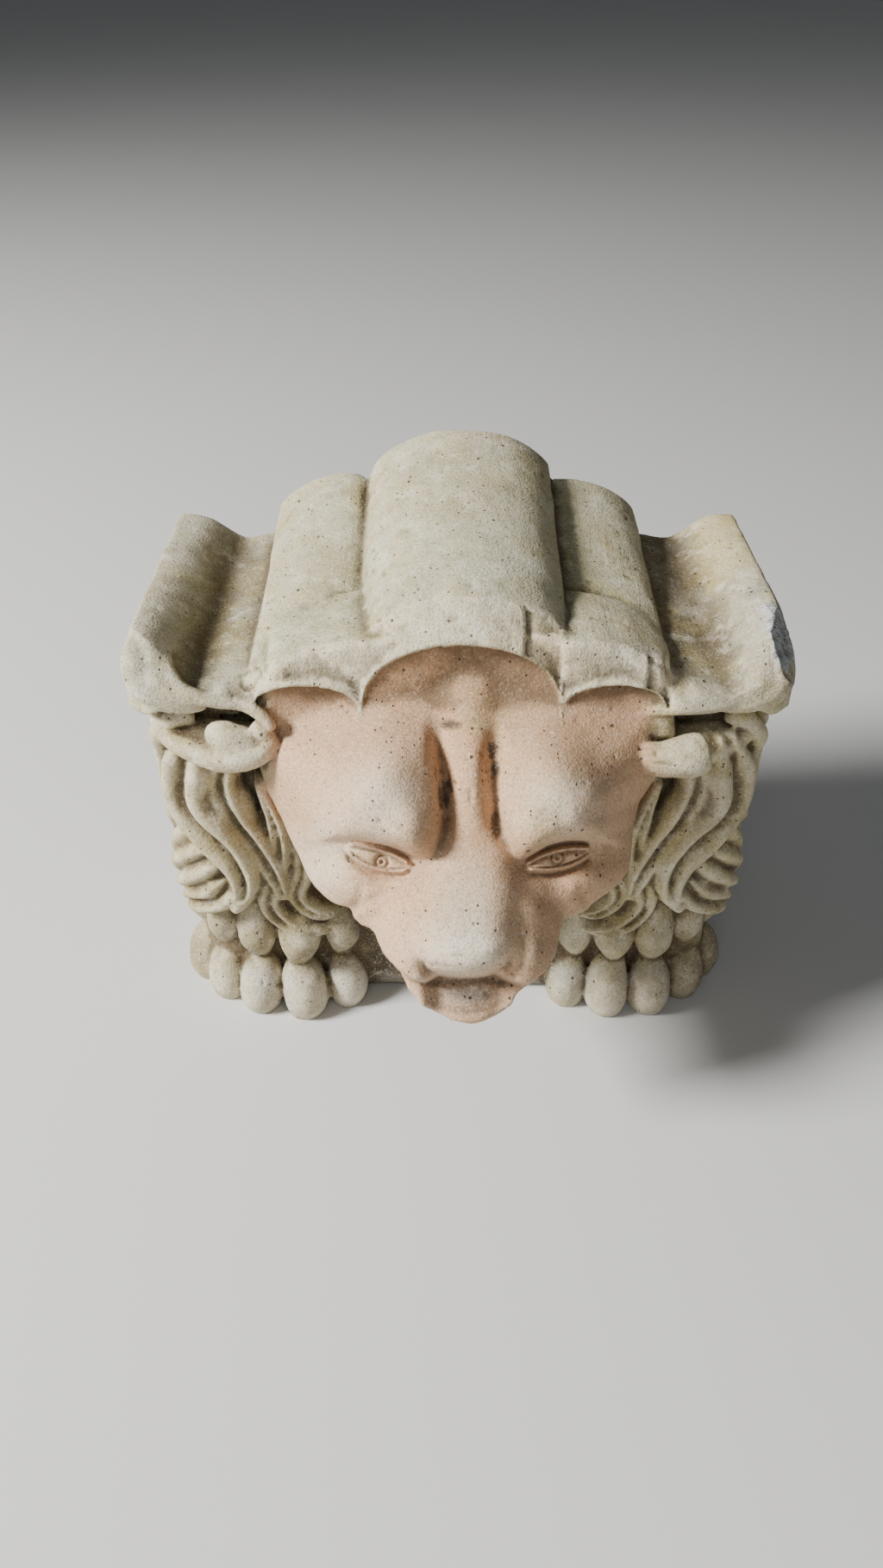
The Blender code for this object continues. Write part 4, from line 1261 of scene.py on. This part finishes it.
@dataclass
class Weathering:
    """Paints the stone: where it is bare, stained, worn or grimy, with painted shade in its hollows and
    painted highlights on its face.
    """

    stone: Piece
    shift: Array
    step: Array
    colours: StoneColours = StoneColours()
    face: Face = field(default_factory=Face)
    crown: Crown = field(default_factory=Crown)

    def __post_init__(self) -> None:
        """Finds where each point lies on the carving, and how hollow and how blotched the stone is there."""
        self.at = read_points(self.stone) / self.step + self.shift
        self.fine, self.middling, self.broad = self.hollows()
        self.cloud = grit(self.at, 16.0, 41) + 0.5 * grit(self.at, 7.0, 42)
        self.blot = grit(self.at, 6.0, 43) + 0.6 * grit(self.at, 2.6, 44)
        self.speck = grit(self.at, 2.2, 45) + 0.7 * grit(self.at, 1.1, 46)
        self.u, self.v, self.w = self.face.lay_on(self.at)
        self.tone = np.tile(linear(*self.colours.body), (len(self.at), 1))
        self.bare = self.bare_face()
        self.top = ease(self.at[:, 2], 90.0, 95.0) * (1.0 - self.bare)

    def hollows(self) -> tuple[Array, Array, Array]:
        """How deep in a hollow each point lies, at three scales.

        Returns:
            Fine, middling and broad hollows; a ridge is negative.
        """
        mesh = self.stone.data
        p, n = read_points(self.stone), read_normals(self.stone)
        ends = np.empty(len(mesh.edges) * 2, dtype=np.int64)
        mesh.edges.foreach_get("vertices", ends)
        a, b = ends.reshape(-1, 2).T
        count = np.maximum(np.bincount(a, minlength=len(p)) + np.bincount(b, minlength=len(p)), 1)
        found, smooth = [], p.copy()
        for step in range(1, 121):
            sums = [np.bincount(a, row[b], len(p)) + np.bincount(b, row[a], len(p)) for row in smooth.T]
            smooth = 0.4 * smooth + 0.6 * np.stack(sums, -1) / count[:, None]
            if step in (6, 30, 120):
                found.append(np.einsum("ij,ij->i", smooth - p, n) * 1000.0)
        return tuple(found)

    def bare_face(self) -> Array:
        """Where the face is bare: inside its outline, in front of the mane and under the crown.

        Returns:
            Values from 0 to 1.
        """
        x, y, z = self.at.T
        edge, depth = self.face.outline(np.arctan2(self.u, self.v))
        inside = ease(edge * 1.06 - np.hypot(self.u, self.v), -1.0, 1.6)
        under_crown = 1.0 - ease(z - self.crown.under(x), -0.6, 0.4) * (y < 7)
        bare = inside * under_crown * (1.0 - ease(y, 4.0, 9.0)) * ease(self.w - depth, -9.0, -3.0)
        return bare * (1.0 - ease(np.abs(x), 38.0, 43.0) * ease(self.v, 14.0, 18.0))

    def lay(self, colour: Triple, amount: Array) -> None:
        """Lays one colour over the last by an amount at each point.

        Args:
            colour: The colour.
            amount: How much of it.
        """
        share = np.clip(amount, 0.0, 1.0)[:, None]
        self.tone = self.tone * (1.0 - share) + linear(*colour) * share

    def paint_top(self) -> None:
        """The crown and its wings, then the blotches over all that isn't bare."""
        c, blot, cloud = self.colours, self.blot, self.cloud
        x, y, _ = self.at.T
        rest = 1.0 - self.bare
        self.lay(c.crown, self.top)
        self.lay(c.wing, self.top * ease(np.abs(x), 43.5, 46.5) * (0.85 + 0.3 * cloud))
        shaded = self.top * ease(x, 44.0, 47.0) * (1.0 - ease(x, 56.0, 63.0))
        self.lay(c.shaded_wing, shaded * (0.8 + 0.3 * cloud))
        self.lay(c.yellow, self.top * ease(x, 56.0, 64.0) * ease(y, 26.0, 46.0) * (0.8 + 0.5 * cloud))
        self.lay(c.yellow, 0.42 * ease(blot, 0.05, 0.7) * rest)
        self.lay(c.cream, 0.30 * ease(-blot, 0.1, 0.8) * rest)
        self.lay(c.olive, 0.34 * ease(cloud, 0.0, 0.7) * rest)

    def paint_face(self) -> None:
        """The bare face: rust in dips, painted highlights on heights, the grey mouth, and painted shadow at
        the lips.
        """
        c, u, v, bare, blot = self.colours, self.u, self.v, self.bare, self.blot
        a = np.abs(u)
        self.lay(c.flesh, bare)
        rust = 0.45 * bump(a, v, (5.5, 12.0), (3.2, 10.0)) + mounds(u, v, (
            (1.0, (0.0, 24.0), (9.0, 8.0)), (0.9, (-20.0, -9.0), (8.0, 4.5)), (0.6, (0.0, -3.0), (8.0, 5.0)),
            (0.7, (22.0, -8.0), (7.0, 4.0)), (1.3, (0.0, -34.5), (7.0, 2.8))))
        self.lay(c.rust, bare * (0.4 * rust * (0.8 + 0.5 * blot) + 0.16 * ease(blot, 0.2, 0.9)))
        self.lay(c.olive, bare * 0.5 * bump(u, v, (1.5, 27.0), (5.0, 3.5)))
        self.lay(c.yellow, bare * 0.4 * bump(u, v, (13.5, 8.0), (4.0, 6.0)))
        # Painted highlight: cream on the top of the nose, where the light falls.
        nose = mounds(u, v, ((0.85, (-1.0, -18.0), (8.0, 5.0)), (0.5, (-1.0, -9.0), (7.0, 8.0))))
        self.lay(c.cream, bare * nose)
        # Painted highlights: cream on the brow domes and on the left cheek, which faces the light.
        heights = bump(a, v, (18.0, 10.0), (8.0, 7.0)) + bump(u, v, (-31.0, -2.0), (8.0, 8.0))
        self.lay(c.cream, bare * 0.55 * heights)
        self.lay(c.mouth, bare * 1.1 * bump(u, v, (-0.6, -28.0), (6.5, 2.8)) * (0.85 + 0.3 * blot))
        # Painted shadow: dark lines along the mouth line and under the lower lip, where the nose, pads and lip
        # shade the face.
        mouth = stroke(u, v, [(-12.6, -25), (-8, -26), (-3, -25.4), (2, -25), (6.5, -26), (11.4, -26.4)], 0.8)
        under_lip_shadow = stroke(u, v, [(-9.4, -29.8), (-5, -31.2), (0, -31.4), (4, -30.9), (8.4, -29.2)], 0.9)
        self.lay(c.soot_and_shadow, bare * (0.6 * mouth + 0.5 * under_lip_shadow) * (0.8 + 0.4 * blot))
        self.lay(c.soot_and_shadow, bare * 0.7 * bump(u, v, (-0.6, -28.0), (7.0, 2.4)) * ease(self.speck, 0.55, 0.9))

    def paint_front_edge(self) -> None:
        """Dirt spots on the crown, and the sandy, broken front of its rolls."""
        c, speck = self.colours, self.speck
        x, y, z = self.at.T
        self.lay(c.hollow, self.top * 0.3 * ease(self.blot + 0.7 * speck, 0.55, 1.3))
        front = (y < 3.4) * ease(z - self.crown.under(x), 0.2, 1.0) * ease(46.0 - np.abs(x), 0.0, 1.5)
        front = front * (read_normals(self.stone)[:, 1] < -0.3)
        self.lay(c.ochre, front * (0.55 + 0.5 * speck))
        self.lay(c.cream, front * (0.45 + 0.4 * ease(speck, 0.2, 0.8)))
        self.lay(c.rust, 0.12 * front * ((x > 13.4) & (x < 23.0) | (x > 37.2) & (x < 46.0)))

    def paint_dirt(self) -> None:
        """Painted shade under the chin, dirt and painted shade in the hollows, and pale wear on the ridges."""
        c, bare, blot, middling = self.colours, self.bare, self.blot, self.middling
        x, y, z = self.at.T
        a = np.abs(x)
        # Painted shade: the recess under the chin and between the paws is darkened.
        deep = ease(y, 3.0, 8.0) * (1.0 - ease(y, 30.0, 40.0)) * (1.0 - ease(a, 24.0, 29.0))
        deep = deep * (1.0 - ease(z, 34.0, 44.0))
        self.lay(c.hollow, 0.9 * deep)
        self.lay(c.soot_and_shadow, 0.6 * deep)
        # Dirt and painted shade darken the middling and broad hollows, less on the bare face and the crown's
        # top.
        hollow_dirt_and_shade_share = (1.0 - 0.75 * bare) * (1.0 - 0.55 * self.top)
        self.lay(c.hollow, 0.86 * ease(middling, 0.05, 0.5) * hollow_dirt_and_shade_share * (0.8 + 0.4 * blot))
        self.lay(c.hollow, 0.5 * ease(self.broad, 0.5, 2.6) * (1.0 - 0.9 * bare) * (1.0 - 0.75 * self.top))
        self.lay(c.cream, 0.3 * ease(-middling, 0.10, 0.55) * (0.8 + 0.6 * self.speck) * (1.0 - 0.6 * bare))
        paws = ease(34.0 - z, 0.0, 8.0) * ease(a, 24.0, 28.0)
        self.lay(c.hollow, 0.4 * paws * ease(self.cloud + 0.5 * blot, -0.5, 0.5))
        toe_tips = ease(16.0 - z, 0.0, 6.0) * ease(8.0 - y, 0.0, 6.0)
        self.lay(c.blue_wear, 0.5 * toe_tips * ease(blot, 0.0, 0.7))
        self.lay(c.cream, 0.4 * toe_tips * ease(-middling, 0.0, 0.5))
        # Soot and painted shade along the lines between the rolls and at the wings, stronger on the left,
        # where the rolls' right flanks face away from the light.
        groove = self.top * (bell(a, 22.6, 1.1) + 0.7 * bell(a, 45.2, 1.2)) * ease(middling, 0.0, 0.35)
        self.lay(c.soot_and_shadow, groove * np.where(x < 0, 0.85, 0.5) * (0.75 + 0.5 * blot))

    def paint_furrows(self) -> None:
        """Soot and lichen in the face's furrows, and shade round its eyes."""
        c, u, v, bare = self.colours, self.u, self.v, self.bare
        lichen = ease(self.blot + 0.9 * self.speck, 0.05, 0.5)
        spots = mounds(u, v, (
            (1.0, (-5.0, 12.0), (1.7, 4.4)), (1.0, (5.2, 16.5), (1.7, 2.2)), (1.0, (5.0, 21.5), (1.6, 1.8)),
            (1.0, (5.2, 5.8), (1.2, 3.0)), (0.6, (-4.0, 26.0), (4.0, 1.6))))
        self.lay(c.soot_and_shadow, bare * 0.85 * ease(spots * (0.7 + 0.6 * lichen), 0.35, 0.75))
        self.lay(c.hollow, bare * 0.5 * bump(u, v, (-19.0, -4.2), (5.0, 1.2)) * lichen)
        shade = 0.5 * ease(self.middling, 0.25, 1.1) + 0.4 * bump(np.abs(u), v, (9.5, -3.0), (3.0, 3.0))
        self.lay(c.hollow, bare * 0.55 * shade)

    def paint(self) -> None:
        """Lays every colour in turn, and writes them and the finish as attributes at the points."""
        self.paint_top()
        self.paint_face()
        self.paint_front_edge()
        self.paint_dirt()
        self.paint_furrows()
        chip = how_far(self.at, (69.3, 9.5, 102.0), (6.0, 12.0, 7.0)) + 0.25 * self.blot
        broken = 1.0 - ease(chip, 0.75, 0.95)
        self.lay(self.colours.fresh, broken)
        mesh = self.stone.data
        stored = mesh.color_attributes.new("stone_colour", "FLOAT_COLOR", "POINT")
        rows = np.concatenate([self.tone, np.ones((len(self.tone), 1))], axis=1)
        stored.data.foreach_set("color", rows.astype(np.float32).ravel())
        mesh.color_attributes.active_color = stored
        zones = {"bare_face": self.bare, "top_zone": self.top, "broken": broken,
                 "fine_hollow_dirt_and_shade": ease(self.fine, 0.02, 0.22)}
        for name, values in zones.items():
            layer = mesh.attributes.new(name, "FLOAT", "POINT")
            layer.data.foreach_set("value", np.clip(values, 0.0, 1.0).astype(np.float32))
        log.info("painted: %s", ", ".join(zones))


class Nodes:
    """A short way to lay out a material's nodes."""

    def __init__(self, name: str) -> None:
        """Starts a material with only its shader and output.

        Args:
            name: The material's name.
        """
        self.material = bpy.data.materials.new(name)
        self.material.use_nodes = True
        self.tree = self.material.node_tree
        self.shader = self.tree.nodes["Principled BSDF"]
        self.place = self.add("ShaderNodeTexCoord").outputs["Object"]

    def add(self, kind: str, **settings: object) -> bpy.types.Node:
        """Adds a node and sets its properties.

        Args:
            kind: The node's type.
            **settings: Its properties by name.

        Returns:
            The node.
        """
        node = self.tree.nodes.new(kind)
        for name, value in settings.items():
            setattr(node, name, value)
        return node

    def feed(self, node: bpy.types.Node, **inputs: object) -> bpy.types.Node:
        """Fills a node's sockets by name, with values or with other sockets.

        Args:
            node: The node.
            **inputs: Values or sockets by the socket's name.

        Returns:
            The same node.
        """
        for name, value in inputs.items():
            socket = node.inputs[name.replace("_", " ")]
            if isinstance(value, Socket):
                self.tree.links.new(value, socket)
            else:
                socket.default_value = value
        return node

    def noise(
        self, scale: float, detail: float = 2.0, rough: float = 0.5, stretch: Triple | None = None
    ) -> Socket:
        """Smooth noise over the piece, drawn out along an axis where stretch says so.

        Args:
            scale: How fine it is.
            detail: How many finer layers it has.
            rough: How strong those are.
            stretch: Its scale along each axis.

        Returns:
            The noise.
        """
        place = self.place
        if stretch:
            mapping = self.feed(self.add("ShaderNodeMapping"), Vector=self.place, Scale=stretch)
            place = mapping.outputs["Vector"]
        node = self.add("ShaderNodeTexNoise")
        return self.feed(node, Vector=place, Scale=scale, Detail=detail, Roughness=rough).outputs["Fac"]

    def cells(self, scale: float) -> tuple[Socket, Socket]:
        """The distance to the nearest of scattered points, and a random number for each.

        Args:
            scale: How close they lie.

        Returns:
            The distance and the number.
        """
        node = self.feed(self.add("ShaderNodeTexVoronoi"), Vector=self.place, Scale=scale)
        pick = self.feed(self.add("ShaderNodeSeparateColor"), Color=node.outputs["Color"]).outputs["Red"]
        return node.outputs["Distance"], pick

    def span(
        self, value: Socket, low: float, high: float, to_low: float = 0.0, to_high: float = 1.0
    ) -> Socket:
        """Stretches a range of values to another, and holds it there.

        Args:
            value: The value.
            low: Where the range starts.
            high: Where it ends.
            to_low: What its start becomes.
            to_high: What its end becomes.

        Returns:
            The new value.
        """
        node = self.add("ShaderNodeMapRange", clamp=True, interpolation_type="SMOOTHSTEP")
        self.feed(node, Value=value, From_Min=low, From_Max=high, To_Min=to_low, To_Max=to_high)
        return node.outputs["Result"]

    def sum(self, kind: str, a: Socket | float, b: Socket | float) -> Socket:
        """One step of arithmetic.

        Args:
            kind: Which step.
            a: The first value.
            b: The second value.

        Returns:
            The result.
        """
        node = self.add("ShaderNodeMath", operation=kind)
        for socket, value in zip(node.inputs, (a, b)):
            if isinstance(value, Socket):
                self.tree.links.new(value, socket)
            else:
                socket.default_value = value
        return node.outputs["Value"]

    def times(self, first: Socket | float, *rest: Socket | float) -> Socket:
        """Several values multiplied together.

        Args:
            first: The first value.
            *rest: The others.

        Returns:
            The product.
        """
        for value in rest:
            first = self.sum("MULTIPLY", first, value)
        return first

    def plus(self, first: Socket | float, *rest: Socket | float) -> Socket:
        """Several values added together.

        Args:
            first: The first value.
            *rest: The others.

        Returns:
            The total.
        """
        for value in rest:
            first = self.sum("ADD", first, value)
        return first

    def mix(self, amount: Socket, a: Socket, b: Sequence[float], kind: str = "MIX") -> Socket:
        """Lays a plain colour or a socket's colour over another.

        Args:
            amount: How much of the new one.
            a: The colour below.
            b: The new colour.
            kind: How they blend.

        Returns:
            The mixed colour.
        """
        node = self.add("ShaderNodeMix", data_type="RGBA", blend_type=kind)
        for index, value in ((0, amount), (6, a), (7, b)):
            if isinstance(value, Socket):
                self.tree.links.new(value, node.inputs[index])
            elif isinstance(value, (int, float)):
                node.inputs[index].default_value = value
            else:
                node.inputs[index].default_value = (*value, 1.0)
        return node.outputs[2]

    def attribute(self, name: str, colour: bool = False) -> Socket:
        """What was painted at the piece's points."""
        return self.add("ShaderNodeAttribute", attribute_name=name).outputs["Color" if colour else "Fac"]


@dataclass(frozen=True)
class StoneFinish:
    """The stone's own surface: sandy, pitted, speckled and dull."""

    colours: StoneColours = StoneColours()
    roughness: float = 0.9
    grain_scale: float = 1900.0
    pit_scale: float = 380.0
    brown: Triple = (150, 138, 104)
    crumb_grey: Triple = (126, 128, 128)
    pale_grain: Triple = (0.93, 0.89, 0.78)
    dark_grain: Triple = (0.16, 0.12, 0.08)
    coarse_grain: Triple = (0.20, 0.16, 0.11)
    dot: Triple = (0.85, 0.83, 0.78)

    def make(self) -> bpy.types.Material:
        """Lays out the material.

        Returns:
            The material.
        """
        k = Nodes("weathered_carved_stone")
        c = self.colours
        colour = k.attribute("stone_colour", colour=True)
        face, top, broken = k.attribute("bare_face"), k.attribute("top_zone"), k.attribute("broken")
        plain = k.sum("SUBTRACT", 1.0, face)
        cloud = k.noise(55.0, 3.0, 0.6)
        mottle = k.noise(210.0, 4.0, 0.62)
        grain = k.noise(self.grain_scale, 2.0, 0.6)
        coarse = k.noise(700.0, 3.0, 0.6)
        crumb = k.noise(420.0, 4.0, 0.7)

        colour = k.mix(k.span(cloud, 0.35, 0.7, 0.0, 0.35), colour, linear(*c.ochre), "MULTIPLY")
        stains = (
            (k.times(k.span(mottle, 0.52, 0.72, 0.0, 0.45), plain), linear(*self.brown)),
            (k.times(k.span(mottle, 0.46, 0.3, 0.0, 0.4), plain), linear(*c.cream)),
            (k.times(k.span(mottle, 0.54, 0.72, 0.0, 0.35), face), linear(*c.rust)),
            (k.span(grain, 0.52, 0.74, 0.0, 0.32), self.pale_grain),
            (k.span(grain, 0.48, 0.28, 0.0, 0.5), self.dark_grain),
            (k.span(coarse, 0.56, 0.72, 0.0, 0.28), self.coarse_grain),
            # Dirt and painted shade in the fine hollows.
            (k.times(k.attribute("fine_hollow_dirt_and_shade"), 0.5), linear(*c.hollow)),
        )
        for amount, stain in stains:
            colour = k.mix(amount, colour, stain)

        gap, pick = k.cells(self.pit_scale)
        patches = k.span(k.noise(75.0, 1.0), 0.46, 0.6)
        pit = k.times(k.span(gap, 0.17, 0.09), k.span(pick, 0.76, 0.78), patches)
        small_gap, small_pick = k.cells(900.0)
        small = k.times(k.span(small_gap, 0.25, 0.13), k.span(small_pick, 0.90, 0.92))
        holes = k.sum("MAXIMUM", pit, small)
        dot_gap, dot_pick = k.cells(330.0)
        dots = k.times(k.span(dot_gap, 0.13, 0.07), k.span(dot_pick, 0.955, 0.97), face, 0.7)
        colour = k.mix(k.times(holes, 0.85), colour, linear(*c.soot_and_shadow))
        colour = k.mix(dots, colour, self.dot)
        colour = k.mix(k.times(broken, k.span(crumb, 0.5, 0.68, 0.0, 0.75)), colour, linear(*self.crumb_grey))

        lines = k.noise(140.0, 2.0, 0.5, stretch=(9.0, 0.35, 0.8))
        cross = k.noise(140.0, 2.0, 0.5, stretch=(0.35, 9.0, 0.8))
        height = k.plus(
            k.times(grain, 0.5), k.times(coarse, 0.15), k.times(mottle, plain, 0.8),
            k.times(k.plus(lines, cross), top, k.span(cloud, 0.4, 0.65), 0.3), k.times(crumb, broken, 4.0),
        )
        height = k.sum("SUBTRACT", height, k.times(holes, 1.8))
        bumped = k.feed(k.add("ShaderNodeBump"), Strength=0.8, Distance=0.0005, Height=height)
        k.feed(k.shader, Base_Color=colour, Normal=bumped.outputs["Normal"])
        k.shader.inputs["Roughness"].default_value = self.roughness
        k.shader.inputs["Specular IOR Level"].default_value = 0.25
        return k.material


# The stage, the camera and the light.


@dataclass
class Studio:
    """A plain pale floor, soft light from the upper left, and the camera where the photographer's was."""

    shift: Array
    step: Array
    eye: Triple = (-3.8, -209.0, 223.0)
    pitch: float = math.radians(36.0)
    lens: float = 27.03

    def metres(self, grid: Sequence[float]) -> Vector:
        """A far grid point in metres, by the stone's middle size of step.

        Args:
            grid: The point on the grid.

        Returns:
            The same point in metres.
        """
        middle = np.array([0.0, 12.0, 55.0])
        even = float(self.step.mean() * 0.5 + self.step[0] * 0.5)
        return Vector((middle - self.shift) * self.step + (np.array(grid) - middle) * even)

    def floor(self) -> Piece:
        """A wide pale floor.

        Returns:
            The floor.
        """
        bpy.ops.object.select_all(action="DESELECT")
        bpy.ops.mesh.primitive_plane_add(size=40.0, location=(0, 0, 0))
        ground = bpy.context.active_object
        ground.name = "floor"
        k = Nodes("pale_floor")
        tone = k.mix(k.noise(3.0, 2.0), (0.62, 0.62, 0.61), (0.66, 0.66, 0.65))
        k.feed(k.shader, Base_Color=tone)
        k.shader.inputs["Roughness"].default_value = 0.85
        ground.data.materials.append(k.material)
        return ground

    def camera(self) -> None:
        """Sets the camera."""
        data = bpy.data.cameras.new("view")
        data.lens, data.sensor_width, data.sensor_fit = self.lens, 36.0, "AUTO"
        data.clip_start, data.clip_end = 0.01, 100.0
        seen = bpy.data.objects.new("view", data)
        seen.location = self.metres(self.eye)
        seen.rotation_euler = (math.pi / 2 - self.pitch, 0.0, 0.0)
        bpy.context.scene.collection.objects.link(seen)
        bpy.context.scene.camera = seen

    def lamp(self, name: str, at: Triple, size: float, watts: float, tint: Triple) -> None:
        """Adds a soft square lamp that looks at the stone.

        Args:
            name: Its name.
            at: Where it hangs, in metres.
            size: Its side.
            watts: Its strength.
            tint: Its colour.
        """
        data = bpy.data.lights.new(name, "AREA")
        data.size, data.energy, data.color = size, watts, tint
        lamp = bpy.data.objects.new(name, data)
        lamp.location = at
        lamp.rotation_mode = "QUATERNION"
        lamp.rotation_quaternion = (Vector((0, 0, 0.06)) - Vector(at)).to_track_quat("-Z", "Y")
        bpy.context.scene.collection.objects.link(lamp)

    def light(self) -> None:
        """Sets the lamps and the sky."""
        self.lamp("key", (-0.95, -0.30, 0.78), 0.30, 38.5, (1.0, 0.985, 0.96))
        self.lamp("fill", (-0.1, -1.2, 0.7), 0.8, 3.2, (0.97, 0.98, 1.0))
        sky = bpy.data.worlds.new("soft_sky")
        sky.use_nodes = True
        sky.node_tree.nodes["Background"].inputs["Color"].default_value = (0.93, 0.96, 1.0, 1.0)
        sky.node_tree.nodes["Background"].inputs["Strength"].default_value = 0.1
        bpy.context.scene.world = sky

    def build(self) -> None:
        """Sets everything round the stone."""
        self.floor()
        self.camera()
        self.light()


def main() -> None:
    """Builds the stone, dresses it and sets the stage."""
    logging.basicConfig(level=logging.INFO, format="%(message)s")
    stone, shift, step = Carving().build()
    Weathering(stone, shift, step).paint()
    stone.data.materials.clear()
    stone.data.materials.append(StoneFinish().make())
    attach(stone, "root")
    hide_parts(NODE)
    Studio(shift, step).build()


if __name__ == "__main__":
    main()
